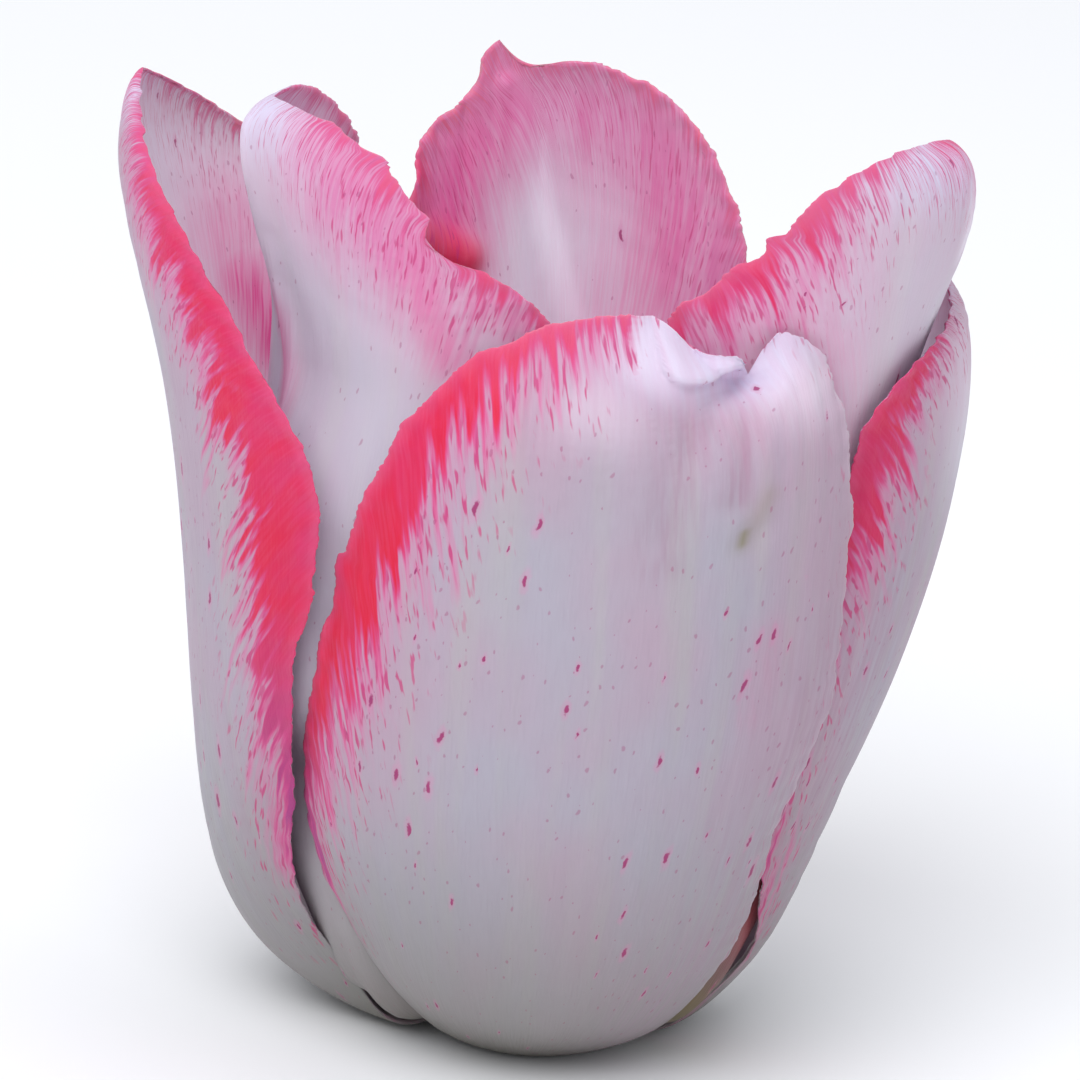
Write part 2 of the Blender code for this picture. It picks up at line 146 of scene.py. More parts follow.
# Each tepal is a loft. A row gives three points: on the midrib, on the margin at the lower azimuth
# and on the margin at the higher azimuth, each as azimuth in degrees, radius and height in mm.
# The rows run from the base to the tip. "bend" says how late each half turns in towards its margin,
# and "swell" raises a hump on each side of the midrib near the tip.
TEPALS = {
    "tepal_outer_front": {
        "bend": (2.0, 2.4),
        "swell": 1.1,
        "rows": [
            ((6, 4.7, 3.3), (-34, 4.7, 3.3), (52, 4.7, 3.3)),
            ((6, 7.2, -0.12), (-34, 7.0, 0.4), (55, 7.0, 0.5)),
            ((6, 10.4, 0.8), (-34, 9.8, 1.3), (57, 9.8, 1.1)),
            ((5, 14.6, 3.3), (-44, 12.8, 4.6), (57, 12.8, 3.6)),
            ((3, 19.5, 8.6), (-49, 17.5, 12.0), (51, 17.6, 9.6)),
            ((3, 23.5, 16.0), (-49.5, 20.2, 18.5), (47, 21.2, 17.0)),
            ((4, 26.0, 25.0), (-41.0, 23.0, 27.8), (48.5, 24.2, 26.5)),
            ((8, 27.2, 34.5), (-34.5, 24.3, 36.8), (49.3, 25.4, 35.5)),
            ((13, 26.8, 42.5), (-28.5, 25.0, 43.0), (46.8, 25.8, 44.0)),
            ((19, 25.6, 47.0), (-17, 24.2, 50.7), (45.0, 25.0, 49.8)),
            ((24, 24.2, 49.2), (-2, 22.3, 54.2), (42.6, 24.0, 52.5)),
            ((27.5, 23.4, 49.9), (10, 21.4, 54.8), (39.8, 23.3, 53.4)),
            ((29.5, 23.0, 50.2), (17.3, 21.4, 54.3), (37.2, 22.9, 53.6)),
            ((30.6, 22.7, 50.4), (21.5, 22.7, 52.8), (34.8, 22.7, 53.2)),
            ((31.2, 22.6, 50.6), (27.0, 23.4, 52.5), (33.0, 22.6, 52.2)),
            ((31.4, 22.5, 50.8), (31.4, 22.5, 50.8), (31.4, 22.5, 50.8)),
        ],
    },
    "tepal_outer_left": {
        "bend": (2.0, 2.0),
        "swell": 0.0,
        "rows": [
            ((-108, 4.7, 3.3), (-156, 4.7, 3.3), (-58, 4.7, 3.3)),
            ((-108, 6.9, 0.6), (-160, 6.9, 0.7), (-57, 6.9, 0.7)),
            ((-108, 9.8, -0.12), (-164, 9.7, 0.7), (-57, 9.7, 0.5)),
            ((-108, 16.0, 1.8), (-165, 13.5, 3.8), (-58, 13.5, 4.4)),
            ((-108, 20.2, 6.0), (-166, 17.5, 9.5), (-58, 17.0, 8.8)),
            ((-108, 22.7, 14.0), (-166, 20.5, 17.0), (-49, 21.2, 17.6)),
            ((-108, 24.0, 25.0), (-164, 22.5, 26.0), (-42.3, 24.1, 27.8)),
            ((-108, 25.3, 35.0), (-160, 24.0, 36.0), (-37.4, 25.2, 37.0)),
            ((-106, 27.3, 45.0), (-152, 25.3, 45.0), (-40.5, 26.0, 44.6)),
            ((-104, 29.7, 53.0), (-142, 27.0, 51.2), (-51, 26.8, 49.8)),
            ((-102, 30.8, 58.0), (-130, 28.2, 55.2), (-65, 27.9, 55.2)),
            ((-100, 30.6, 61.4), (-116, 29.2, 59.2), (-81, 28.6, 59.4)),
            ((-99, 29.8, 62.6), (-99, 29.8, 62.6), (-99, 29.8, 62.6)),
        ],
    },
    "tepal_outer_right": {
        "bend": (2.0, 2.0),
        "swell": 0.0,
        "rows": [
            ((118, 4.7, 3.3), (66, 4.7, 3.3), (168, 4.7, 3.3)),
            ((118, 6.9, 0.6), (68, 6.9, 0.7), (171, 6.9, 0.7)),
            ((118, 9.8, -0.12), (71, 9.7, 0.6), (174, 9.7, 0.7)),
            ((116, 14.6, 2.8), (73, 12.8, 3.9), (175, 13.5, 3.8)),
            ((115, 17.4, 8.0), (65, 16.4, 9.6), (175, 17.5, 9.5)),
            ((115, 20.4, 17.0), (50, 20.0, 19.6), (174, 20.5, 17.0)),
            ((115, 24.0, 27.0), (46.5, 22.6, 29.4), (171, 22.8, 27.0)),
            ((115, 26.5, 37.0), (48, 23.5, 37.6), (166, 24.3, 36.0)),
            ((115, 27.2, 45.0), (52, 24.4, 45.0), (158, 25.0, 43.0)),
            ((114, 26.6, 50.0), (58, 25.6, 49.6), (148, 24.8, 47.6)),
            ((113, 25.6, 52.0), (73, 25.4, 51.6), (136, 24.6, 50.4)),
            ((111, 24.8, 53.2), (92, 24.7, 52.8), (124, 24.4, 52.3)),
            ((110, 24.4, 53.7), (110, 24.4, 53.7), (110, 24.4, 53.7)),
        ],
    },
    "tepal_inner_front_left": {
        "bend": (1.8, 1.8),
        "swell": 0.0,
        "rows": [
            ((-56, 4.7, 5.2), (-104, 4.7, 5.2), (-8, 4.7, 5.2)),
            ((-56, 7.0, 2.7), (-106, 7.0, 2.7), (-6, 7.0, 2.7)),
            ((-56, 10.0, 3.2), (-108, 10.0, 3.4), (-4, 10.0, 3.6)),
            ((-56, 13.4, 7.4), (-110, 13.4, 7.6), (0, 13.4, 7.6)),
            ((-57, 16.8, 15.0), (-112, 16.2, 15.0), (2, 17.2, 15.0)),
            ((-58, 19.4, 25.0), (-112, 17.8, 25.0), (4, 19.4, 25.0)),
            ((-59, 20.6, 35.0), (-110, 17.4, 35.0), (5, 20.5, 36.0)),
            ((-60, 20.8, 44.0), (-107, 16.2, 44.0), (4, 20.6, 46.0)),
            ((-60, 21.5, 51.0), (-100, 15.2, 52.0), (-4, 20.0, 53.7)),
            ((-60, 23.4, 57.0), (-91, 14.6, 58.3), (-19, 20.6, 57.5)),
            ((-60, 24.7, 61.5), (-80, 16.0, 62.4), (-32, 21.4, 61.1)),
            ((-60, 24.6, 64.0), (-71, 19.0, 64.8), (-44, 22.0, 64.0)),
            ((-59.5, 23.4, 65.2), (-59.5, 23.4, 65.2), (-59.5, 23.4, 65.2)),
        ],
    },
    "tepal_inner_front_right": {
        "bend": (1.7, 1.7),
        "swell": 0.0,
        "rows": [
            ((70, 4.7, 5.2), (20, 4.7, 5.2), (118, 4.7, 5.2)),
            ((70, 7.0, 2.7), (18, 7.0, 2.7), (121, 7.0, 2.7)),
            ((70, 10.0, 3.2), (16, 10.0, 3.6), (124, 10.0, 3.4)),
            ((70, 13.0, 7.4), (15, 13.4, 7.6), (125, 13.4, 7.6)),
            ((70, 16.2, 15.0), (14, 17.4, 15.0), (124, 16.0, 15.0)),
            ((70, 19.4, 25.0), (13, 19.4, 25.0), (122, 18.6, 25.0)),
            ((70, 21.4, 35.0), (12, 20.5, 36.0), (119, 20.0, 35.0)),
            ((70, 22.6, 44.0), (13, 20.5, 46.0), (115, 20.6, 44.0)),
            ((70, 24.2, 51.0), (20.3, 19.4, 54.2), (110, 21.0, 51.0)),
            ((69, 26.6, 57.5), (35, 20.9, 58.2), (100, 22.4, 57.0)),
            ((68, 27.2, 61.6), (42, 23.0, 62.0), (88, 23.8, 61.5)),
            ((67, 26.6, 64.0), (53, 24.6, 64.8), (76, 24.6, 64.0)),
            ((65.5, 25.2, 65.0), (65.5, 25.2, 65.0), (65.5, 25.2, 65.0)),
        ],
    },
    "tepal_inner_back": {
        "bend": (2.0, 2.0),
        "swell": 0.0,
        "rows": [
            ((180, 4.7, 5.2), (132, 4.7, 5.2), (228, 4.7, 5.2)),
            ((180, 7.0, 2.7), (131, 7.0, 2.7), (230, 7.0, 2.7)),
            ((180, 10.0, 3.2), (130, 10.0, 3.5), (232, 10.0, 3.5)),
            ((180, 13.4, 7.4), (130, 13.2, 7.6), (233, 13.2, 7.6)),
            ((180, 17.2, 15.0), (130, 16.4, 15.0), (232, 16.4, 15.0)),
            ((180, 20.0, 25.0), (131, 18.8, 25.0), (230, 18.8, 25.0)),
            ((180, 21.8, 35.0), (134, 20.4, 35.0), (227, 20.4, 35.0)),
            ((181, 22.4, 44.0), (141, 21.0, 44.0), (221, 20.8, 44.5)),
            ((183, 22.7, 51.0), (149, 21.8, 51.0), (213.5, 21.4, 52.6)),
            ((186, 22.8, 55.5), (158, 22.0, 56.8), (208, 21.8, 56.5)),
            ((190, 22.8, 58.6), (174, 22.0, 60.7), (202, 22.0, 58.2)),
            ((193, 22.7, 60.0), (185, 22.2, 60.9), (199.4, 22.4, 59.8)),
            ((194.5, 22.6, 61.3), (191, 22.4, 60.4), (198.6, 22.5, 61.2)),
            ((195.7, 22.5, 62.2), (195.7, 22.5, 62.2), (195.7, 22.5, 62.2)),
        ],
    },
}

# The dye of each face, given for its low and its high margin: the width in mm of the solid red
# band at these shares of the margin's length (below zero only flames reach in), the length in mm
# of the flames past it, all along or at these shares, the strength of the pink wash, and how far
# the red turns from crimson to rose.
DYE_PLACES = (0.0, 0.2, 0.3, 0.4, 0.5, 0.6, 0.7, 0.8, 0.86, 0.92, 0.96, 1.0)
NO_BAND = (-6.0,) * 12
PLAIN_BAND = (-4, -2, 0.2, 1.2, 2.0, 2.6, 3.0, 2.8, 2.2, 1.4, 0.8, 0.3)
HAIRLINE = (-3, -2, -1, -0.5, -0.1, 0.15, 0.22, 0.28, 0.3, 0.3, 0.25, 0.2)
PLAIN = {"band": PLAIN_BAND, "flare": 3.5, "wash": 0.45}
FINE = {"band": HAIRLINE, "flare": 0.8, "wash": 0.8}
FAINT = {"band": HAIRLINE, "flare": 1.2, "wash": 0.35}
DYES = {
    "tepal_outer_front": {
        "outer": (
            {
                "band": (-5, -3.2, -0.5, 1.6, 2.5, 2.9, 3.2, 2.9, 1.5, 0.3, -9.0, -9.0),
                "flare": (2, 2.4, 3.2, 2.8, 2.4, 2.8, 3.5, 4.5, 3.4, 1.8, 0.5, 0.5),
                "wash": 0.55,
                "rosy": 0.1,
            },
            {"band": NO_BAND, "flare": 3.0, "wash": 0.15},
        ),
        "inner": (FINE, FINE),
    },
    "tepal_outer_left": {
        "outer": (
            PLAIN,
            {
                "band": (-6, -4, -0.6, 1.6, 3.6, 4.9, 4.8, 2.3, 1.2, 0.8, 0.5, -2.0),
                "flare": (1, 1.2, 2.2, 4, 5, 5, 5, 4.2, 3.0, 1.2, 0.4, 0.4),
                "wash": (0.6, 0.6, 0.6, 0.6, 0.6, 0.6, 0.8, 1.0, 0.9, 0.5, 0.1, 0.1),
                "rosy": 0.55,
            },
        ),
        "inner": (FAINT, FAINT),
    },
    "tepal_outer_right": {
        "outer": (
            {
                "band": (-4, -1.6, -0.9, -1.4, -0.4, 1.8, 3.0, 2.2, -0.4, -1.6, -2.0, -2.0),
                "flare": (2, 2.2, 2.6, 3, 3.4, 4, 4, 3.6, 1.6, 0.6, 0.4, 0.4),
                "wash": 0.6,
                "rosy": 0.7,
            },
            PLAIN,
        ),
        "inner": (FINE, FINE),
    },
    "tepal_inner_front_left": {
        "outer": (
            {
                "band": (-4, -2, 0.2, 1.2, 2.0, 2.6, 2.6, 1.4, 0.5, 0.0, -1.0, -3.0),
                "flare": (3, 3, 3.5, 3.5, 3.5, 3.5, 3, 2, 1, 0.5, 0.5, 0.5),
                "wash": 0.5,
            },
            {
                "band": (-5, -5, -5, -4, -3, -1.6, -0.2, 0.15, 0.1, 0.1, 0.1, -3.0),
                "flare": (2, 2, 2, 2, 2.5, 2.5, 2.4, 2.2, 2.0, 2.0, 1.2, 0.4),
                "wash": (1.2, 1.2, 1.2, 1.2, 1.2, 1.1, 1.0, 1.1, 1.8, 1.9, 1.2, 0.3),
                "rosy": 1.0,
            },
        ),
        "inner": (
            {
                "band": (-3, -2, -1, -0.5, 0, 0.2, 0.3, 0.45, 0.5, 0.5, 0.4, 0.3),
                "flare": 0.7,
                "wash": 0.7,
            },
            {"band": HAIRLINE, "flare": 1.2, "wash": 0.9},
        ),
    },
    "tepal_inner_front_right": {
        "outer": (
            {
                "band": (1.0, 1.4, 1.2, 0.9, 0.7, 0.8, 1.0, 1.1, 1.0, 0.7, 0.3, -0.6),
                "flare": (3, 3, 3, 3.2, 3.2, 3.2, 3.2, 3.0, 2.4, 1.4, 0.6, 0.4),
                "wash": (1.5, 1.5, 1.5, 1.5, 1.5, 1.5, 1.5, 1.3, 1.0, 0.5, 0.2, 0.1),
                "rosy": 0.8,
            },
            {
                "band": (-5, -4, -3.5, -3, -2.5, -1.6, -0.6, 0.0, 0.2, 0.3, 0.3, 0.1),
                "flare": 2.6,
                "wash": 0.4,
            },
        ),
        "inner": (FINE, FINE),
    },
    "tepal_inner_back": {
        "outer": (PLAIN, PLAIN),
        "inner": (
            {
                "band": (-3, -2, -1, -0.5, 0, 0.2, 0.3, 0.35, 0.35, 0.35, 0.3, 0.2),
                "flare": 1.2,
                "wash": 1.8,
            },
            {
                "band": (-3, -2, -1.5, -1, -0.4, 0.3, 0.6, 0.6, 0.4, 0.3, 0.3, 0.3),
                "flare": 1.6,
                "wash": 1.6,
            },
        ),
    },
}

# How far the veins lean out from the tepal's midrib, in degrees, at VEIN_FAN mm from it. The front
# tepal, whose tip is bent aside, has straight veins that all lean by FRONT_LEAN mm in a mm instead.
VEIN_FAN = 20.0
FRONT_LEAN = 0.2
VEIN_LEAN = {
    "tepal_outer_left": 31,
    "tepal_outer_right": 30,
    "tepal_inner_front_left": 25,
    "tepal_inner_front_right": 32,
    "tepal_inner_back": 26,
}

# Folds of the surface: a path of (azimuth, height) points, the width and the rise in mm, where
# a rise below zero is a valley.
FOLDS = {
    "tepal_outer_front": [
        (((26.0, 50.2), (21.0, 48.0), (16.8, 45.7), (15.0, 41.5)), 1.1, -0.32),
        (((29.4, 51.2), (28.4, 49.4), (26.6, 47.0), (25.4, 43.5)), 0.8, -0.38),
        (((30.5, 49.8), (32.0, 46.5), (31.4, 42.3), (27.4, 41.0)), 0.9, -0.22),
        (((-12.0, 40.0), (-14.0, 30.0), (-15.0, 20.0)), 3.0, 0.15),
    ],
    "tepal_inner_front_left": [
        (((-61.0, 63.0), (-63.0, 56.0), (-60.0, 50.0), (-57.0, 45.0), (-53.0, 36.0)), 1.1, 0.5),
        (((-58.5, 56.0), (-56.0, 50.0), (-53.0, 45.0), (-49.0, 36.0)), 0.7, -0.12),
    ],
    "tepal_inner_back": [
        (((193.8, 59.0), (188.2, 51.0), (181.8, 43.0), (180.0, 36.0)), 0.8, -0.45),
        (((213.5, 53.0), (210.5, 50.0), (206.0, 48.3), (200.5, 47.2)), 1.1, -0.8),
    ],
}

# Local colours, painted shade and painted light of a face: the kind, a path of (azimuth, height) points,
# the width in mm, the strength
STAINS = {
    ("tepal_outer_front", "outer"): [
        # Painted shade in the valleys below the cleft, in the cleft's dimple and in the shallow folds
        # along the top
        ("painted_shade", ((26.0, 50.0), (21.0, 48.0), (16.8, 45.7), (14.5, 40.0)), 1.6, 0.55),
        ("painted_shade", ((29.2, 50.0), (27.0, 47.5), (25.6, 44.0)), 1.0, 0.7),
        ("painted_shade", ((-6.0, 49.5), (4.0, 50.0), (12.0, 49.5)), 3.2, 0.45),
        ("painted_shade", ((29.3, 51.4), (29.2, 49.8)), 0.5, 0.95),
        ("olive", ((30.5, 44.0), (28.0, 42.2), (26.7, 40.8)), 0.7, 0.3),
        ("olive", ((26.9, 41.5), (26.7, 40.9)), 0.45, 0.75),
        ("rose", ((32.6, 34.5), (31.6, 32.0), (31.0, 29.0)), 1.5, 0.14),
        # Painted highlights: the lip and the hump beside the cleft where they face the sky, and a strip
        # between the folds along the top
        ("pale", ((13.0, 53.0), (21.0, 52.2), (29.0, 52.0)), 2.3, 0.9),
        ("pale", ((32.0, 51.6), (36.0, 51.6), (38.0, 50.5)), 2.4, 0.9),
        ("pale", ((4.0, 49.5), (8.0, 49.0)), 2.4, 0.35),
        # Painted shade where the front tepal turns away towards the gap at its lower right
        ("painted_shade", ((36.0, 6.0), (46.0, 18.0), (50.0, 30.0)), 7.0, 0.5),
        ("flecks", ((-25.0, 42.0), (-24.0, 30.0), (-22.0, 20.0)), 6.0, 0.9),
        ("flecks", ((-8.0, 31.0), (8.0, 31.0)), 4.5, 0.8),
        ("flecks", ((36.0, 34.0), (40.0, 22.0), (30.0, 8.0)), 7.0, 0.55),
    ],
    ("tepal_outer_left", "outer"): [
        # Painted highlight on the tip
        ("pale", ((-99.0, 62.5), (-101.0, 59.0)), 2.4, 0.9),
        ("flecks", ((-72.0, 34.0), (-78.0, 24.0), (-80.0, 16.0)), 7.0, 0.9),
    ],
    ("tepal_outer_right", "outer"): [
        ("flecks", ((60.0, 30.0), (70.0, 18.0)), 5.0, 0.5),
        # Painted shade where this tepal turns towards the gap beside the front tepal
        ("painted_shade", ((56.0, 36.0), (66.0, 22.0), (74.0, 12.0)), 7.0, 0.5),
        ("pale", ((72.0, 54.0), (80.0, 51.0), (88.0, 44.0)), 5.0, 0.6),
    ],
    ("tepal_outer_left", "inner"): [
        ("rose", ((-122.0, 49.0), (-126.0, 45.0), (-130.0, 41.0), (-134.0, 36.0)), 5.0, 0.6),
        ("rose", ((-124.0, 45.5), (-130.0, 41.0)), 3.4, 1.0),
        ("pale", ((-104.0, 60.0), (-112.0, 55.0)), 3.5, 0.5),
    ],
    ("tepal_inner_front_left", "inner"): [
        ("rose", ((-64.0, 64.5), (-72.0, 63.4), (-80.0, 61.0), (-90.0, 57.0)), 4.0, 0.5),
    ],
    ("tepal_inner_front_left", "outer"): [
        # The pale paths on this face are painted light: a highlight on the tip and along the raised fold,
        # and lightening where the face lies in shade between the outer tepals and on its far side
        ("pale", ((-62.0, 64.0), (-64.0, 60.5)), 1.8, 0.9),
        ("pale", ((-60.0, 52.0), (-57.0, 45.0), (-52.0, 36.0)), 1.8, 0.6),
        ("pale", ((-84.0, 56.0), (-80.0, 46.0), (-70.0, 36.0)), 5.0, 0.95),
        ("rose", ((-86.0, 54.0), (-80.0, 46.0), (-73.0, 38.0)), 3.2, 0.6),
        ("rose", ((-66.0, 53.0), (-61.5, 50.0), (-59.5, 47.0), (-58.5, 43.0)), 1.3, 0.7),
        # Painted shade: a thin dark line along the valley beside the raised fold
        ("painted_shade", ((-58.0, 54.0), (-54.5, 47.0), (-50.0, 38.0)), 0.35, 0.5),
        ("pale", ((-40.0, 50.0), (-30.0, 42.0)), 6.0, 0.35),
        ("rose", ((-29.0, 56.5), (-25.0, 53.0), (-22.0, 50.5)), 1.8, 0.55),
        ("rose", ((-15.0, 54.5), (-9.0, 53.5)), 1.6, 0.3),
    ],
    ("tepal_inner_front_right", "outer"): [
        ("crimson", ((60.0, 18.0), (67.0, 13.5), (72.0, 10.5)), 4.2, 0.3),
        # Painted shade: the strip seen in the gap between the front and right tepals, darkened
        ("gap_shade", ((62.0, 18.0), (66.0, 12.0), (70.0, 7.0), (84.0, 6.5)), 4.4, 1.0),
        ("olive", ((54.0, 4.0), (66.0, 3.2), (84.0, 2.6)), 2.6, 0.95),
        # Painted highlight on the tip
        ("pale", ((66.0, 65.0), (72.0, 63.0), (74.0, 58.0)), 2.4, 0.9),
        ("rose", ((46.0, 50.0), (50.0, 42.0)), 4.0, 0.3),
    ],
    ("tepal_inner_back", "inner"): [
        ("rose", ((201.5, 57.5), (207.0, 52.0), (209.0, 47.0), (203.0, 39.0)), 4.8, 1.0),
        ("rose", ((158.0, 56.0), (160.0, 50.0), (167.0, 43.0)), 7.0, 0.55),
        ("rose", ((178.0, 57.0), (176.0, 50.0)), 4.0, 0.3),
        ("pale", ((192.5, 60.5), (186.5, 51.0), (179.5, 43.0), (177.5, 34.0)), 1.8, 1.0),
        ("crimson", ((216.0, 52.5), (212.0, 49.3), (206.0, 47.8), (201.0, 46.8)), 1.7, 1.0),
    ],
}
STAIN_KINDS = ("rose", "crimson", "gap_shade", "olive", "painted_shade", "pale", "flecks")

# How pale a whole face is, beyond the outer faces of the outer tepals: partly the inner faces' own paler
# colour, partly painted light that brightens faces lying in shade inside the bloom
FACE_PALE_AND_LIT = {
    ("tepal_inner_front_left", "outer"): 0.36,
    ("tepal_inner_front_right", "outer"): 0.34,
    ("tepal_inner_front_left", "inner"): 1.0,
    ("tepal_inner_front_right", "inner"): 0.75,
    ("tepal_inner_back", "inner"): 0.6,
    ("tepal_outer_left", "inner"): 0.78,
    ("tepal_outer_right", "inner"): 0.75,
    ("tepal_outer_front", "inner"): 0.75,
}

# How thickly each face is flecked away from its crowded places, and how strongly it is dashed
MARKS = {
    ("tepal_outer_front", "outer"): (0.12, 1.0),
    ("tepal_outer_left", "outer"): (0.1, 1.0),
    ("tepal_outer_right", "outer"): (0.15, 1.0),
    ("tepal_inner_front_left", "outer"): (0.0, 1.0),
    ("tepal_inner_front_right", "outer"): (0.05, 0.9),
    ("tepal_inner_back", "outer"): (0.2, 1.0),
    ("tepal_inner_back", "inner"): (0.0, 0.8),
    ("tepal_outer_left", "inner"): (0.0, 0.7),
}
INNER_MARKS = (0.0, 0.4)

# Where an inner tepal presses outwards between two outer ones: azimuth and half width in degrees,
# the heights where it starts, is full, ends being full and is gone, and the rise in mm
PADS = {
    "tepal_inner_front_left": [
        (-49.0, 13.0, (1.1, 3.4, 9.0, 16.0), 1.9),
        (-60.0, 20.0, (1.6, 5.4, 12.0, 26.0), 2.0),
        (-48.0, 16.0, (17.0, 27.0, 38.0, 48.0), 2.8),
    ],
    "tepal_inner_front_right": [
        (68.0, 14.0, (1.1, 3.4, 9.0, 17.0), 1.9),
        (74.0, 18.0, (1.6, 5.4, 12.0, 22.0), 1.9),
        (56.0, 16.0, (30.0, 38.0, 48.0, 58.0), 1.2),
    ],
}

# The pads fade in between these radii
PAD_RADII = (5.5, 9.0)

# Dents of the margins: share of the length, half width in mm along the margin, depth in mm, for
# the low and the high side
DENTS = {
    "tepal_outer_front": (((0.95, 1.1, 1.0),), ()),
    "tepal_outer_right": (((0.19, 4.2, 2.3),), ()),
    "tepal_inner_front_left": ((), ((0.823, 2.3, 2.0),)),
}

# Steps of the margins: share of the length, width in mm along the margin, rise in mm, for the low
# and the high side. A step rises slowly and falls back at once, towards the tip if the rise is below 0.
STEPS = {
    "tepal_outer_front": (
        ((0.628, 1.5, 0.75), (0.7, 1.6, 0.25), (0.782, 2.2, 0.35), (0.845, 2.4, 0.35)),
        ((0.55, 2.5, 0.2), (0.7, 2.0, 0.2)),
    ),
    "tepal_outer_left": (
        ((0.5, 2.5, 0.3), (0.7, 2.0, 0.35), (0.82, 2.2, 0.3)),
        ((0.52, 2.0, 0.25), (0.64, 2.4, 0.3), (0.797, 1.5, 0.8), (0.85, 2.0, 0.3)),
    ),
    "tepal_outer_right": (
        ((0.55, 2.0, 0.3), (0.66, 1.6, 0.45), (0.75, 2.2, 0.35), (0.86, 2.0, 0.3)),
        ((0.5, 2.5, 0.3), (0.7, 2.0, 0.35)),
    ),
    "tepal_inner_front_left": (
        ((0.6, 2.5, 0.35), (0.8, 2.0, 0.4)),
        ((0.72, 2.0, 0.3), (0.8, 2.4, 0.35), (0.862, 1.5, 0.45), (0.918, 1.8, 0.8), (0.955, 1.4, 0.4)),
    ),
    "tepal_inner_front_right": (
        ((0.745, 2.0, 0.45), (0.805, 2.2, 0.6), (0.845, 1.4, 0.9), (0.9, 2.0, 0.35)),
        ((0.6, 2.5, 0.35), (0.8, 2.0, 0.4)),
    ),
    "tepal_inner_back": (
        ((0.7, 2.2, 0.3), (0.8, 2.0, 0.35), (0.9, 1.8, 0.3)),
        ((0.74, 1.6, 0.35), (0.83, 2.0, 0.4), (0.88, 1.4, 0.3)),
    ),
}

# The lip of the front tepal, where its margin rolls outwards beside the tip: its width in mm at
# these azimuths, and how far it stands out there
LIP_AZIMUTHS = (14.4, 15.6, 18.0, 22.0, 26.0, 29.6)
LIP_WIDTHS = (1.6, 3.2, 2.8, 1.9, 1.2, 0.4)
LIP_RISES = (0.0, 0.8, 1.1, 1.15, 1.0, 0.5)
LIP_HEIGHTS = (47.0, 48.5)


def metres(points):
    return np.asarray(points, float) * MM


def place(azimuth, radius, height):
    """Cartesian points from azimuths in degrees, radii and heights."""
    a = np.radians(azimuth)
    parts = np.broadcast_arrays(radius * np.sin(a), -radius * np.cos(a), height)
    return np.stack(parts, axis=-1)


def cartesian(form):
    """Cartesian points of a form, whose last axis holds azimuth, radius and height."""
    return place(form[..., 0], form[..., 1], form[..., 2])


def round_angles(sides):
    """Evenly spaced angles of a full turn."""
    return 2 * math.pi * np.arange(sides) / sides


def natural_spline(knots, values, at):
    """The natural cubic spline through `values`, one row a knot, read at each place in `at`."""
    count = len(knots)
    gap = np.diff(knots)
    slope = np.diff(values, axis=0) / gap[:, None]
    system = np.eye(count)
    right = np.zeros(values.shape)
    for i in range(1, count - 1):
        system[i, i - 1 : i + 2] = gap[i - 1], 2 * (gap[i - 1] + gap[i]), gap[i]
        right[i] = 6 * (slope[i] - slope[i - 1])
    second = np.linalg.solve(system, right)
    i = np.clip(np.searchsorted(knots, at) - 1, 0, count - 2)
    t = (at - knots[i])[:, None]
    h = gap[i][:, None]
    linear = slope[i] - h * (2 * second[i] + second[i + 1]) / 6
    cubic = (second[i + 1] - second[i]) / (6 * h)
    return values[i] + t * linear + t**2 * second[i] / 2 + t**3 * cubic


def guide_lines(tepal, at):
    """Midrib, low margin and high margin as azimuth, radius, height, at each share of the length."""
    rows = np.array(tepal["rows"], float)
    points = cartesian(rows)
    step = np.linalg.norm(np.diff(points, axis=0), axis=-1).mean(axis=1)
    knots = np.concatenate([[0.0], np.cumsum(step)]) / step.sum()
    lines = natural_spline(knots, rows.reshape(len(rows), 9), at)
    return lines.reshape(len(at), 3, 3)


def fade(x, start, end):
    """0 up to start, 1 from end on, smooth between."""
    t = np.clip((x - start) / (end - start), 0.0, 1.0)
    return t * t * (3 - 2 * t)


def arc_lengths(points, axis):
    """Length along the grid lines that run in the direction of `axis`, from their start."""
    steps = np.linalg.norm(np.diff(points, axis=axis), axis=-1)
    start = np.zeros_like(np.take(steps, [0], axis=axis))
    return np.concatenate([start, np.cumsum(steps, axis=axis)], axis=axis)


def column_places():
    """Where the columns lie from margin to margin, from -1 to 1, closer together at the margins."""
    even = np.linspace(-1.0, 1.0, COLUMNS)
    return (1 - MARGIN_CROWDING) * even + MARGIN_CROWDING * np.sin(math.pi / 2 * even)


def coarse_form(tepal, phase, along, across, uneven=True):
    """Azimuth, radius and height of the tepal's outer face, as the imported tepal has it.

    Where not `uneven`, the margins keep their sweep but have no teeth and no ruffle.
    """
    lines = guide_lines(tepal, along)
    cut = uneven * fade(along, *CUT_RISE) * (1 - fade(along, *CUT_FALL))
    swell = tepal["swell"] * fade(along, *SWELL_RISE) * (1 - fade(along, *CUT_FALL))
    side = np.where(across < 0, 1, 2)
    sign = np.where(across < 0, -1.0, 1.0)
    out = np.abs(across)
    bend = np.array(tepal["bend"])[side - 1]
    share = np.stack([out, out**bend, out**2], axis=-1)
    grid = lines[:, :1] + (lines[:, side] - lines[:, :1]) * share
    v = along[:, None]
    coarse, fine = TEETH_WAVES
    wave = 0.6 * np.sin(coarse * v + phase + side) + 0.4 * np.sin(fine * v + 2.3 * (phase + side))
    teeth = COARSE_TEETH * out**6 * cut[:, None] * wave
    grid[..., 0] += sign * np.degrees(teeth / np.maximum(grid[..., 1], 1.0))
    ruffle = RUFFLE * out**4 * cut[:, None]
    grid[..., 1] += ruffle * np.sin(RUFFLE_WAVES * v + phase * sign)
    grid[..., 1] += swell[:, None] * np.sin(math.pi * out) ** 2
    return grid


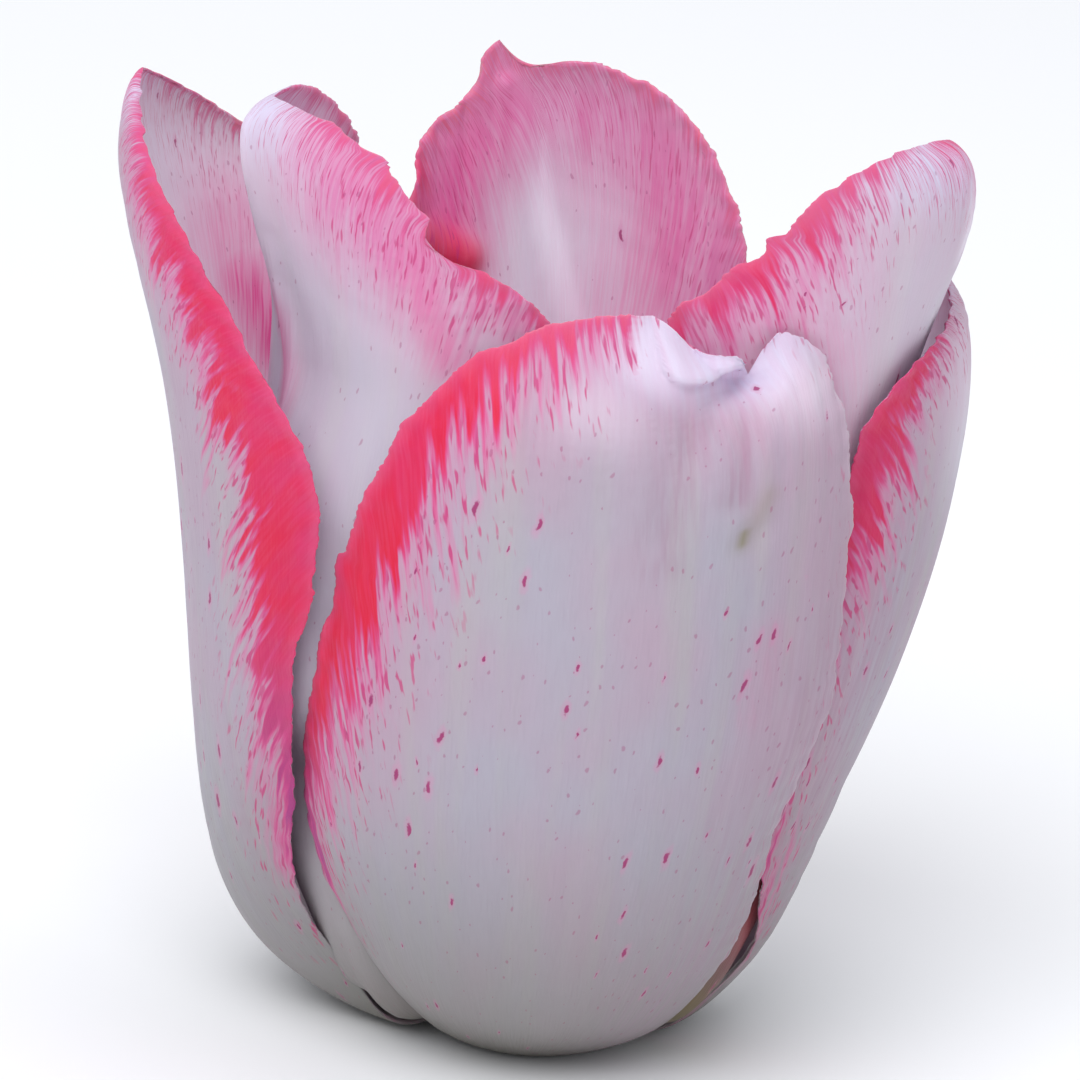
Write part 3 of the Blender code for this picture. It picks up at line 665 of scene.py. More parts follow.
def tooth_wave(length, phase):
    """Uneven rounded teeth along a margin, from 0 in the notches to 1 on the crowns."""
    drift = 0.9 * np.sin(0.83 * length + phase) + 0.5 * np.sin(2.1 * length + 2 * phase)
    crown = np.abs(np.sin(math.pi * length / TOOTH_PITCH + drift)) ** 0.6
    size = 0.55 + 0.3 * np.sin(1.31 * length + 1.7 * phase) + 0.25 * np.sin(3.7 * length + phase)
    return crown * np.clip(size, 0.1, 1.2)


def vein_relief(spread, phase):
    """Low ridges along the veins: a sum of waves whose pitches don't repeat together."""
    waves = ((1.9, 1.0), (1.17, 0.6), (3.3, 0.9), (0.74, 0.35))
    return sum(size * np.sin(2 * math.pi * spread / pitch + phase * pitch) for pitch, size in waves)


def surface_normals(points):
    """Outward unit normals of a grid of points."""
    up = np.gradient(points, axis=0)
    right = np.gradient(points, axis=1)
    normal = np.cross(right, up)
    size = np.linalg.norm(normal, axis=-1, keepdims=True)
    return normal / np.maximum(size, 1e-9)


def near_margin(points, margin):
    """Distance of each grid point from a margin line, and the index of the nearest point on it."""
    tree = KDTree(len(margin))
    for i, p in enumerate(margin):
        tree.insert(p, i)
    tree.balance()
    found = [tree.find(p) for p in points.reshape(-1, 3)]
    distance = np.array([f[2] for f in found]).reshape(points.shape[:2])
    index = np.array([f[1] for f in found]).reshape(points.shape[:2])
    return distance, index


def vein_coordinates(node, tepal, form):
    """Distances across and along the veins for each point of a tepal, in mm."""
    root = tepal["rows"][0][0][0]
    middle = COLUMNS // 2
    if node not in VEIN_LEAN:
        over = VEIN_RADIUS * np.radians(form[..., 0] - root) + FRONT_LEAN * form[..., 2]
        return over, form[..., 2].copy()
    points = cartesian(form)
    girth = arc_lengths(points, 1)
    out = np.abs(girth - girth[:, middle : middle + 1]) + 2.0
    up = arc_lengths(points, 0)[:, middle : middle + 1] * np.ones_like(out)
    lean = math.radians(VEIN_LEAN[node])
    rate = math.tan(lean) / VEIN_FAN
    over = VEIN_FAN * math.cos(lean) * (up * rate - np.log(out / VEIN_FAN))
    side = np.where(np.arange(COLUMNS) < middle, 100.0, 0.0)
    return over + side, up * math.cos(lean) + out * math.sin(lean)


def path_distance(form, path):
    """Distance in mm from each point of a face to a path of (azimuth, height) points."""
    at = np.stack([VEIN_RADIUS * np.radians(form[..., 0]), form[..., 2]], axis=-1)
    knots = np.array(path)
    knots[:, 0] = VEIN_RADIUS * np.radians(knots[:, 0])
    nearest = np.full(at.shape[:2], np.inf)
    for start, end in zip(knots, knots[1:]):
        run = end - start
        share = np.clip((at - start) @ run / (run @ run), 0.0, 1.0)
        gap = np.linalg.norm(at - start - share[..., None] * run, axis=-1)
        nearest = np.minimum(nearest, gap)
    return nearest


def add_folds(node, form, edge):
    """Raises the folds, the pads and the lip of one tepal in place."""
    height = form[..., 2].copy()
    raised = np.zeros(height.shape)
    for path, width, rise in FOLDS.get(node, ()):
        raised += rise * np.exp(-((path_distance(form, path) / width) ** 2))
    pressed = np.zeros(height.shape)
    for azimuth, half, (low, full, end, gone), rise in PADS.get(node, ()):
        window = fade(height, low, full) * (1 - fade(height, end, gone)) * fade(form[..., 1], *PAD_RADII)
        pad = rise * window * np.exp(-(((form[..., 0] - azimuth) / half) ** 2))
        pressed = np.maximum(pressed, pad)
    points = cartesian(form)
    facing = surface_normals(points)
    outward = (facing * place(form[..., 0], 1.0, 0.0)).sum(axis=-1)
    form[..., 2] += pressed * facing[..., 2]
    raised += pressed * outward
    if node == "tepal_outer_front":
        width = np.interp(form[..., 0], LIP_AZIMUTHS, LIP_WIDTHS)
        rise = np.interp(form[..., 0], LIP_AZIMUTHS, LIP_RISES, 0.0, 0.0)
        depth = edge / width
        lip = (0.3 + 0.7 * fade(depth, 0.0, 0.6)) * (1 - fade(depth, 0.78, 1.12))
        raised += rise * fade(height, *LIP_HEIGHTS) * lip
    form[..., 1] += raised


def step_profile(node, length, along, column):
    """How far one margin juts out at each row, from its steps and its dents."""
    found = np.zeros(len(along))
    side = 0 if column == 0 else 1
    for share, width, depth in DENTS.get(node, ((), ()))[side]:
        found -= depth * np.exp(-(((length - np.interp(share, along, length)) / width) ** 2))
    for share, width, rise in STEPS[node][side]:
        at = (length - np.interp(share, along, length)) / width
        slow = np.exp(-np.abs(np.minimum(at, 0.0)) ** 1.5)
        sharp = np.exp(-((np.maximum(at, 0.0) / 0.22) ** 2))
        found += rise * slow * sharp
    return found


def stain_values(node, face, form):
    """The strength of each kind of local colour, painted shade and painted light on one face, as the first
    three, three more and flecks.
    """
    found = {kind: np.zeros(form.shape[:2]) for kind in STAIN_KINDS}
    # The whole face's paleness: partly its own colour, partly painted light
    found["pale"] += FACE_PALE_AND_LIT.get((node, face), 0.0)
    for kind, path, width, strength in STAINS.get((node, face), ()):
        value = strength * np.exp(-((path_distance(form, path) / width) ** 2))
        found[kind] = np.maximum(found[kind], value)
    values = np.stack([found[kind] for kind in STAIN_KINDS], axis=-1)
    return values[..., :3], values[..., 3:6], values[..., 6]


def dye_values(dye, along, distance, index):
    """Depth inside the solid band in mm, the pink wash, the flames' length and the rosiness."""
    share = along[index]
    inside = np.interp(share, DYE_PLACES, dye["band"]) - distance
    washed, flare = (
        np.interp(share, DYE_PLACES, np.broadcast_to(dye[name], len(DYE_PLACES)))
        for name in ("wash", "flare")
    )
    wash = washed * (1 - fade(distance, 1.0, 12.0)) * fade(share, 0.25, 0.65)
    rosy = np.full(distance.shape, dye.get("rosy", 0.6))
    return np.stack([inside, wash, flare, rosy], axis=-1)


def tepal_faces(rows, columns):
    """Faces of a closed blade: `rows` grid rows and a tip point outside, then the same inside."""
    layer = rows * columns + 1
    tip = rows * columns
    i, j = np.meshgrid(np.arange(rows - 1), np.arange(columns - 1), indexing="ij")
    a = (i * columns + j).ravel()
    quads = np.stack([a, a + 1, a + columns + 1, a + columns], axis=1)
    last = (rows - 1) * columns
    fan = [(last + k, last + k + 1, tip) for k in range(columns - 1)]
    faces = quads.tolist() + fan
    inside = [tuple(layer + v for v in reversed(face)) for face in faces]
    left = [k * columns for k in range(rows)]
    right = [k * columns + columns - 1 for k in reversed(range(rows))]
    base = list(range(columns - 2, 0, -1))
    loop = left + [tip] + right + base
    rim = []
    for p, q in zip(loop, loop[1:] + loop[:1]):
        rim.append((p, q, q + layer, p + layer))
    return faces + inside + rim


def add_mesh(name, points, faces, finish):
    mesh = bpy.data.meshes.new(name)
    mesh.from_pydata(points, [], faces)
    mesh.materials.append(finish)
    mesh.shade_smooth()
    piece = bpy.data.objects.new(name, mesh)
    bpy.context.scene.collection.objects.link(piece)
    return piece


def add_vectors(mesh, name, values):
    layer = mesh.attributes.new(name, "FLOAT_VECTOR", "POINT")
    layer.data.foreach_set("vector", np.asarray(values, np.float32).ravel())


def with_tip(grid):
    """The grid's rows but the last as a list of points, and the middle of the last row as the tip."""
    width = grid.shape[-1]
    tip = grid[-1, grid.shape[1] // 2]
    return np.concatenate([grid[:-1].reshape(-1, width), tip[None]])


def face_layers(node, face, along, near, form, veins):
    """What the material reads on one face, by name: three values at each point of its grid."""
    sides = [dye_values(dye, along, *nearest) for dye, nearest in zip(DYES[node][face], near)]
    reach = [side[..., 0] + side[..., 2] for side in sides]
    values = np.where((reach[0] > reach[1])[..., None], *sides)
    wash = np.maximum(sides[0][..., 1], sides[1][..., 1])
    share = np.broadcast_to(along[:, None], wash.shape)
    stain, tone, crowd = stain_values(node, face, form)
    flecked, dashed = MARKS.get((node, face), INNER_MARKS)
    marks = [np.maximum(flecked, crowd), np.full(crowd.shape, dashed), values[..., 3]]
    return {
        "veins": np.stack([*veins, values[..., 0]], axis=-1),
        "dye": np.stack([wash, share, values[..., 2]], axis=-1),
        "stain": stain,
        "tone": tone,
        "marks": np.stack(marks, axis=-1),
    }


def add_tepal(node, tepal, phase, finish):
    """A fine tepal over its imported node, with the coordinates that its dye is painted by."""
    along = np.linspace(0.0, 1.0, ROWS)
    across = column_places()
    form = coarse_form(tepal, phase, along, across)
    plain = coarse_form(tepal, phase, along, across, uneven=False)
    smooth = cartesian(plain)
    length = arc_lengths(smooth, 0)
    middle = COLUMNS // 2
    root = tepal["rows"][0][0][0]
    spread = VEIN_RADIUS * np.radians(form[..., 0] - root)
    cut = (fade(along, 0.1, 0.3) * (1 - fade(along, 0.975, 1.0)))[:, None]
    out = np.abs(across)
    sign = np.sign(across)
    margin = np.where(across < 0, length[:, :1], length[:, -1:])
    teeth = FINE_TEETH * out**40 * cut * (tooth_wave(margin, phase + sign) - 1.0)
    steps = [step_profile(node, length[:, column], along, column)[:, None] for column in (0, -1)]
    teeth += np.where(across < 0, *steps) * out**10
    run = np.gradient(cartesian(form), axis=1)
    girth = np.maximum(np.linalg.norm(run, axis=-1, keepdims=True), 0.02)
    form += (sign * teeth)[..., None] * np.gradient(form, axis=1) / girth
    ripple = RIPPLE * out**8 * cut
    form[..., 1] += ripple * np.sin(2 * math.pi * margin / RIPPLE_PITCH + phase)
    form[..., 1] += VEIN_RIDGE * (vein_relief(spread, phase) - 1.5) * fade(along, 0.1, 0.3)[:, None]
    form[..., 2] = np.maximum(form[..., 2], 0.0)
    toothed = cartesian(form)
    edge = np.minimum(near_margin(toothed, toothed[:, 0])[0], near_margin(toothed, toothed[:, -1])[0])
    add_folds(node, form, edge)
    outer = cartesian(form)
    rounding = np.sqrt(1 - (1 - np.clip(edge / RIM_ROUNDING, 0.02, 1.0)) ** 2)
    thickness = RIM_THICKNESS * rounding + (MID_THICKNESS - RIM_THICKNESS) * fade(edge, 0.3, 6.0)
    over_veins, down_veins = vein_coordinates(node, tepal, plain)
    add_folds(node, plain, edge)
    folded = cartesian(plain)
    inner = outer - surface_normals(folded) * thickness[..., None]
    inner[..., 2] = np.maximum(inner[..., 2], 0.05)
    near = [near_margin(smooth, smooth[:, column]) for column in (0, -1)]
    midrib_length = np.broadcast_to(length[:, middle : middle + 1], edge.shape)
    blade = with_tip(np.stack([spread, midrib_length, edge], axis=-1))
    veins = (over_veins, down_veins)
    layers = [face_layers(node, face, along, near, plain, veins) for face in ("outer", "inner")]
    piece = add_mesh(
        node.replace("tepal", "petal"),
        metres(np.concatenate([with_tip(outer), with_tip(inner)])),
        tepal_faces(ROWS - 1, COLUMNS),
        finish,
    )
    add_vectors(piece.data, "blade", np.concatenate([blade, blade]))
    for name in layers[0]:
        add_vectors(piece.data, name, np.concatenate([with_tip(layer[name]) for layer in layers]))
    add_bake_map(piece.data)
    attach(piece, "root")
    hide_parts(node)
    return piece


def add_bake_map(mesh):
    """A flat map of the tepal: its outer face in the left half and its inner face in the right."""
    column = np.tile(np.linspace(0.0, 1.0, COLUMNS), ROWS - 1)
    row = np.repeat(np.linspace(0.0, 1.0, ROWS)[:-1], COLUMNS)
    face = np.stack([np.append(column, 0.5), np.append(row, 1.0)], axis=1)
    at = np.concatenate([face * (0.48, 0.98) + (0.01, 0.01), face * (0.48, 0.98) + (0.51, 0.01)])
    corners = np.empty(len(mesh.loops), np.int32)
    mesh.loops.foreach_get("vertex_index", corners)
    layer = mesh.uv_layers.new(name="OFBake")
    layer.data.foreach_set("uv", at[corners].astype(np.float32).ravel())


class Graph:
    """A material's node tree, with short calls for the nodes used here."""

    def __init__(self, name, roughness, specular=0.4):
        self.material = bpy.data.materials.new(name)
        self.material.use_nodes = True
        self.tree = self.material.node_tree
        self.shader = self.tree.nodes["Principled BSDF"]
        self.shader.inputs["Roughness"].default_value = roughness
        self.shader.inputs["Specular IOR Level"].default_value = specular

    def link(self, value, socket):
        if isinstance(value, bpy.types.NodeSocket):
            self.tree.links.new(value, socket)
        elif isinstance(value, tuple) and len(socket.default_value) == 4:
            socket.default_value = (*value, 1.0)
        else:
            socket.default_value = value

    def set(self, name, value):
        self.link(value, self.shader.inputs[name])

    def attribute(self, name):
        node = self.tree.nodes.new("ShaderNodeAttribute")
        node.attribute_name = name
        return node.outputs["Vector"]

    def position(self):
        return self.tree.nodes.new("ShaderNodeTexCoord").outputs["Object"]

    def split(self, vector):
        node = self.tree.nodes.new("ShaderNodeSeparateXYZ")
        self.link(vector, node.inputs[0])
        return node.outputs[:]

    def join(self, x, y, z):
        node = self.tree.nodes.new("ShaderNodeCombineXYZ")
        for value, socket in zip((x, y, z), node.inputs):
            self.link(value, socket)
        return node.outputs[0]

    def math(self, operation, *values, clamp=False):
        node = self.tree.nodes.new("ShaderNodeMath")
        node.operation = operation
        node.use_clamp = clamp
        for value, socket in zip(values, node.inputs):
            self.link(value, socket)
        return node.outputs[0]

    def scale(self, vector, factors):
        node = self.tree.nodes.new("ShaderNodeVectorMath")
        node.operation = "MULTIPLY"
        self.link(vector, node.inputs[0])
        node.inputs[1].default_value = factors
        return node.outputs[0]

    def step(self, value, low, high, to_low=0.0, to_high=1.0):
        """to_low up to low, to_high from high on, smooth between."""
        node = self.tree.nodes.new("ShaderNodeMapRange")
        node.interpolation_type = "SMOOTHSTEP"
        for number, socket in zip((value, low, high, to_low, to_high), node.inputs):
            self.link(number, socket)
        return node.outputs[0]

    def noise(self, vector, scale=1.0, detail=2.0):
        node = self.tree.nodes.new("ShaderNodeTexNoise")
        self.link(vector, node.inputs["Vector"])
        node.inputs["Scale"].default_value = scale
        node.inputs["Detail"].default_value = detail
        return node.outputs["Fac"]

    def cells(self, vector):
        """Distance to the nearest of scattered points, and that point's random colour."""
        node = self.tree.nodes.new("ShaderNodeTexVoronoi")
        node.voronoi_dimensions = "2D"
        self.link(vector, node.inputs["Vector"])
        node.inputs["Scale"].default_value = 1.0
        return node.outputs["Distance"], node.outputs["Color"]

    def mix(self, share, first, second):
        node = self.tree.nodes.new("ShaderNodeMix")
        node.data_type = "RGBA"
        for value, socket in zip((share, first, second), (node.inputs[0], *node.inputs[6:8])):
            self.link(value, socket)
        return node.outputs[2]

    def bump(self, height, distance, strength=1.0):
        node = self.tree.nodes.new("ShaderNodeBump")
        node.inputs["Strength"].default_value = strength
        node.inputs["Distance"].default_value = distance
        self.link(height, node.inputs["Height"])
        self.link(node.outputs[0], self.shader.inputs["Normal"])


def flecks(graph, across, along, pitch, amount, size):
    """Scattered marks drawn out along the veins, as the marks and the halos round them.

    `pitch` is a cell's width and length in mm, and `amount` the share of the cells with a mark.
    """
    wide = graph.math("DIVIDE", across, pitch[0])
    tall = graph.math("DIVIDE", along, pitch[1])
    distance, colour = graph.cells(graph.join(wide, tall, 0.37))
    ragged = graph.noise(graph.join(across, along, 0.0), scale=4.0, detail=1.0)
    distance = graph.math("MULTIPLY_ADD", ragged, 0.12, graph.math("SUBTRACT", distance, 0.06))
    red, green, _ = graph.split(colour)
    chosen = graph.math("LESS_THAN", red, amount)
    radius = graph.math("MULTIPLY_ADD", graph.math("POWER", green, 2.0), size, size * 0.45)
    core = graph.step(distance, graph.math("MULTIPLY", radius, 0.55), radius, 1.0, 0.0)
    halo = graph.step(distance, radius, graph.math("MULTIPLY", radius, 2.4), 1.0, 0.0)
    return graph.math("MULTIPLY", core, chosen), graph.math("MULTIPLY", halo, chosen)


def tepal_material(name):
    """Satin lilac white, with coral-crimson flames that run in from the margins along the veins."""
    g = Graph(name, roughness=0.5, specular=0.22)
    across, along, edge = g.split(g.attribute("blade"))
    over_veins, down_veins, inside = g.split(g.attribute("veins"))
    wash, share, flare = g.split(g.attribute("dye"))
    rose, crimson, gap_shade = g.split(g.attribute("stain"))
    olive, painted_shade, pale = g.split(g.attribute("tone"))
    crowd, dashed, rosy = g.split(g.attribute("marks"))
    blade = g.join(across, along, 0.0)
    veins = g.join(over_veins, down_veins, 3.3)

    hair = g.noise(g.scale(blade, (5.0, 0.35, 1.0)), detail=1.0)
    cloud = g.noise(g.scale(blade, (0.09, 0.06, 1.0)), detail=2.0)
    long_streak = g.noise(g.scale(blade, (0.42, 0.03, 1.0)), detail=2.5)
    fine = g.step(g.noise(g.scale(veins, (2.3, 0.2, 1.0)), detail=1.5), 0.3, 0.7)
    broad = g.step(g.noise(g.scale(veins, (0.75, 0.08, 1.0)), detail=1.0), 0.3, 0.7)
    thread = g.noise(g.scale(veins, (5.5, 0.3, 1.0)), detail=1.5)

    body = g.mix(g.step(cloud, 0.35, 0.65), BODY_COOL, BODY_WARM)
    body = g.mix(g.step(long_streak, 0.45, 0.7, 0.0, 0.5), body, BODY_CREAM)
    body = g.mix(g.step(hair, 0.45, 0.75, 0.0, 0.1), body, BODY_SHADE)
    # Painted shade: each tepal turns darker grey towards its base
    body = g.mix(g.step(along, 10.0, 40.0, 0.9, 0.0), body, PAINTED_SHADE_GREY)
    # At the foot: its own olive, darkened with painted shade
    body = g.mix(g.step(along, 2.0, 16.0, 0.85, 0.0), body, FOOT_OLIVE_AND_SHADE)

    lines = g.noise(g.scale(blade, (2.4, 0.16, 1.0)), detail=2.0)
    # Painted shade in folds, creases and gaps, streaked along fine lines
    body = g.mix(g.math("MULTIPLY", painted_shade, g.step(lines, 0.35, 0.65, 0.3, 1.2)), body, PAINTED_SHADE_MAUVE)
    # Paleness of the face and its pale paths: partly their own paler colour, partly painted highlights and
    # painted light in shaded places
    body = g.mix(g.math("MULTIPLY", pale, g.step(along, 12.0, 38.0, 0.15, 1.0)), body, FACE_WHITE)
    # Towards the tips: their own whitening, with painted bluish sky light on them
    body = g.mix(g.step(share, 0.85, 0.96, 0.0, 0.7), body, TIP_WHITE_AND_SKYLIGHT)
    body = g.mix(olive, body, STAIN_OLIVE)
    # Painted shade in the gap between the front and right tepals
    body = g.mix(gap_shade, body, GAP_SHADE_BROWN)

    streak = g.math("MULTIPLY_ADD", g.step(long_streak, 0.3, 0.7), 0.25, 0.35)
    streak = g.math("ADD", streak, g.math("MULTIPLY", fine, 0.2))
    wash_share = g.math("MULTIPLY", wash, streak, clamp=True)
    body = g.mix(wash_share, body, WASH_PINK)
    rose_share = g.math("MULTIPLY", rose, g.math("MULTIPLY_ADD", fine, 0.35, 0.7), clamp=True)
    body = g.mix(rose_share, body, STAIN_ROSE)
    body = g.mix(crimson, body, STAIN_CRIMSON)
    near = g.math("MULTIPLY", g.step(inside, -6.0, 0.0, 0.0, 0.2), dashed)
    body = g.mix(g.math("MULTIPLY", near, g.step(thread, 0.46, 0.68)), body, STREAK_MAUVE)

    length = g.math("ADD", g.math("MULTIPLY", fine, 0.6), g.math("MULTIPLY", broad, 0.55))
    length = g.math("POWER", length, 1.5)
    front = g.math("ADD", inside, g.math("MULTIPLY", flare, length))
    hairy = g.math("MULTIPLY_ADD", thread, 2.2, g.math("SUBTRACT", front, 1.1))
    flame = g.step(hairy, -0.7, 0.95)

    heat = g.step(share, 0.3, 0.52)
    warmth = g.noise(g.scale(veins, (0.5, 0.12, 1.0)), detail=2.0)
    warmth = g.math("ADD", rosy, g.step(warmth, 0.35, 0.65, -0.3, 0.3), clamp=True)
    core = g.mix(heat, LOW_MAGENTA, g.mix(warmth, CRIMSON, ROSE_RED))
    # Partly the red's own coral cast, partly painted glow: the red turns coral along the thin margin as if
    # lit through
    rim_painted_glow = g.math("MULTIPLY", g.step(edge, 0.15, 1.2, 1.0, 0.0), heat)
    core = g.mix(g.math("MULTIPLY", rim_painted_glow, 0.3), core, CORAL_PINK)
    core = g.mix(g.math("MULTIPLY", g.step(thread, 0.4, 0.68, 0.0, 0.14), heat), core, CORAL_PINK)
    # Painted glow: the red turns coral towards the tips as if lit through
    core = g.mix(g.step(share, 0.8, 0.95, 0.0, 0.7), core, CORAL_PINK)
    ends = g.step(hairy, 0.1, 1.9, 0.9, 0.0)
    deep = g.mix(ends, core, FLAME_PINK)
    glow = g.math("MULTIPLY", g.step(front, -3.6, 0.6, 0.0, 0.75), g.step(fine, 0.0, 1.0, 0.55, 1.0))
    glow = g.math("MULTIPLY", glow, g.step(flare, 0.4, 2.0, 0.2, 1.0))
    colour = g.mix(g.math("MULTIPLY", glow, dashed), body, BLUSH)
    strands = g.math("MULTIPLY", g.step(front, -3.0, 0.6, 0.0, 0.65), g.step(thread, 0.46, 0.66))
    colour = g.mix(g.math("MULTIPLY", strands, dashed), colour, FLAME_PINK)
    colour = g.mix(flame, colour, deep)

    past = g.math("MULTIPLY", inside, -1.0)
    limit = g.math("MULTIPLY_ADD", past, 0.014, 0.556)
    dash = g.noise(g.scale(veins, (3.7, 0.62, 1.0)), detail=0.8)
    dash = g.step(g.math("SUBTRACT", dash, limit), -0.02, 0.1)
    bare = g.step(pale, 0.8, 0.9, 1.0, 0.0)
    dash = g.math("MULTIPLY", dash, g.math("MULTIPLY", bare, g.step(past, 4.0, 9.5, 0.8, 0.0)))
    dash = g.math("MULTIPLY", dash, g.step(along, 11.0, 18.0))
    dash = g.math("MULTIPLY", dash, g.math("MULTIPLY", dashed, g.math("SUBTRACT", 1.0, flame)))
    leaning = g.math("MULTIPLY_ADD", along, -0.16, across)
    leaning = g.math("MULTIPLY_ADD", g.noise(blade, detail=1.0), 0.5, leaning)
    spots, halos = flecks(g, leaning, along, (1.35, 4.0), g.math("MULTIPLY_ADD", crowd, 0.42, 0.05), 0.12)
    dots, _ = flecks(g, leaning, along, (0.8, 1.6), g.math("MULTIPLY_ADD", crowd, 0.4, 0.25), 0.12)
    clear = g.math("MULTIPLY", g.math("SUBTRACT", 1.0, flame), bare)
    spots = g.math("MAXIMUM", g.math("MULTIPLY", spots, 0.9), g.math("MULTIPLY", dots, 0.38))
    colour = g.mix(dash, colour, DASH_PINK)
    colour = g.mix(g.math("MULTIPLY", g.math("MULTIPLY", halos, 0.3), clear), colour, WASH_PINK)
    colour = g.mix(g.math("MULTIPLY", spots, clear), colour, FLECK_MAGENTA)
    g.set("Base Color", colour)

    g.set("Subsurface Weight", 0.32)
    g.set("Subsurface Radius", (1.0, 0.8, 0.9))
    g.set("Subsurface Scale", 0.004)
    g.set("Sheen Weight", 0.04)
    g.set("Sheen Roughness", 0.45)
    g.set("Sheen Tint", (0.93, 0.93, 1.0))
    g.set("Roughness", g.step(hair, 0.2, 0.8, 0.5, 0.62))
    g.bump(hair, 0.00012, 0.22)
    return g.material


def plain_material(name, colour, shade, roughness, pitch):
    """A soft natural surface whose colour drifts between two tones, with fine bumps."""
    g = Graph(name, roughness=roughness)
    grain = g.noise(g.position(), scale=1.0 / (pitch * MM), detail=3.0)
    g.set("Base Color", g.mix(g.step(grain, 0.3, 0.7), colour, shade))
    g.set("Subsurface Weight", 0.1)
    g.set("Subsurface Scale", 0.0008)
    g.bump(grain, pitch * MM * 0.3, 0.5)
    return g.material


def pistil_material(name):
    """Pale green below, with a cream downy stigma on top."""
    g = Graph(name, roughness=0.5)
    _, _, height = g.split(g.position())
    top = g.step(height, 0.0246, 0.0262)
    grain = g.noise(g.position(), scale=2400.0, detail=2.0)
    green = g.mix(g.step(grain, 0.35, 0.65), (0.42, 0.52, 0.22), (0.50, 0.58, 0.30))
    cream = g.mix(g.step(grain, 0.35, 0.65), (0.78, 0.72, 0.46), (0.66, 0.60, 0.34))
    g.set("Base Color", g.mix(top, green, cream))
    g.set("Subsurface Weight", 0.15)
    g.set("Subsurface Scale", 0.001)
    g.set("Roughness", g.step(top, 0.0, 1.0, 0.42, 0.8))
    g.bump(grain, 0.0001, 0.6)
    return g.material


def add_loft(name, node, rings, finish):
    """A closed body through rings of equal point counts, bottom to top, closed by a point at each end."""
    rings = np.asarray(rings, float)
    count, sides = rings.shape[:2]
    points = np.concatenate([rings.reshape(-1, 3), rings[:1].mean(axis=1), rings[-1:].mean(axis=1)])
    i, k = np.meshgrid(np.arange(count - 1), np.arange(sides), indexing="ij")
    low = (i * sides + k).ravel()
    low_next = (i * sides + (k + 1) % sides).ravel()
    faces = np.stack([low, low_next, low_next + sides, low + sides], axis=1).tolist()
    last = (count - 1) * sides
    for k in range(sides):
        n = (k + 1) % sides
        faces.append((n, k, count * sides))
        faces.append((last + k, last + n, count * sides + 1))
    piece = add_mesh(name, metres(points), faces, finish)
    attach(piece, "root")
    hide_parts(node)
    return piece


def add_receptacle(finish):
    """The cut stem's end, faintly ribbed, and the swollen seat of the flower on it."""
    profile = [
        (0.6, 0.06),
        (2.0, 0.05),
        (STEM_RADIUS - 0.35, 0.02),
        (STEM_RADIUS - 0.08, 0.0),
        (STEM_RADIUS, 0.1),
        (STEM_RADIUS + 0.02, 0.9),
        (STEM_RADIUS + 0.1, 1.6),
        (3.7, 2.4),
        (RECEPTACLE_RADIUS, RECEPTACLE_TOP - 2.6),
        (RECEPTACLE_RADIUS + 0.02, RECEPTACLE_TOP - 1.4),
        (RECEPTACLE_RADIUS - 0.05, RECEPTACLE_TOP - 0.45),
        (RECEPTACLE_RADIUS - 0.4, RECEPTACLE_TOP),
        (2.0, RECEPTACLE_TOP),
        (0.6, RECEPTACLE_TOP),
    ]
    sides = 144
    turn = round_angles(sides)
    rings = []
    for radius, height in profile:
        ribs = 0.03 * np.cos(18 * turn) * (radius > STEM_RADIUS - 0.2)
        r = radius + ribs
        rings.append(np.stack([r * np.cos(turn), r * np.sin(turn), np.full(sides, height)], axis=1))
    add_loft("receptacle_fine", "receptacle", rings, finish)


def add_pistil(finish):
    """A three-angled ovary under a stigma of three folded, downy lobes."""
    # share of the height, share of the ovary's radius, depth of the three lobes
    profile = np.array([
        (0.00, 0.62, 0.00),
        (0.08, 0.80, 0.05),
        (0.25, 0.98, 0.10),
        (0.45, 1.00, 0.12),
        (0.65, 0.90, 0.12),
        (0.80, 0.74, 0.12),
        (0.86, 0.78, 0.18),
        (0.91, 1.10, 0.30),
        (0.96, STIGMA_RADIUS / OVARY_RADIUS, 0.38),
        (1.00, 1.05, 0.42),
    ])
    low = RECEPTACLE_TOP + SEAT_GAP
    sides = 180
    turn = round_angles(sides)
    rings = []
    for height in np.linspace(0.0, 1.0, 150):
        radius, lobe = natural_spline(profile[:, 0], profile[:, 1:], np.array([height]))[0]
        r = OVARY_RADIUS * radius * (1 - lobe * (1 - np.cos(3 * turn)) / 2)
        down = fade(np.array(height), 0.86, 0.93)
        r = r + 0.05 * down * np.sin(41 * turn + 60 * height) * np.sin(310 * height + 3 * turn)
        z = np.full(sides, low + height * PISTIL_HEIGHT)
        rings.append(np.stack([r * np.cos(turn), r * np.sin(turn), z], axis=1))
    rim = rings[-1]
    for inward in (0.9, 0.75, 0.55, 0.35, 0.15):
        ring = rim * (inward, inward, 1.0)
        ring[:, 2] -= 0.9 * (1 - inward) * (1 - 0.6 * (1 + np.cos(3 * turn)) / 2)
        rings.append(ring)
    add_loft("pistil_fine", "pistil", rings, finish)


def stamen_frame(index):
    """Foot, outward, sideways and leaning directions of one of the six stamens."""
    azimuth = math.radians(FIRST_STAMEN + index * 360 / STAMENS)
    outward = np.array([math.sin(azimuth), -math.cos(azimuth), 0.0])
    sideways = np.array([math.cos(azimuth), math.sin(azimuth), 0.0])
    seat = RECEPTACLE_TOP + SEAT_GAP + FILAMENT_RADIUS * math.sin(STAMEN_LEAN)
    foot = FILAMENT_RING * outward + np.array([0.0, 0.0, seat])
    lean = math.sin(STAMEN_LEAN) * outward + math.cos(STAMEN_LEAN) * np.array([0.0, 0.0, 1.0])
    return foot, outward, sideways, lean


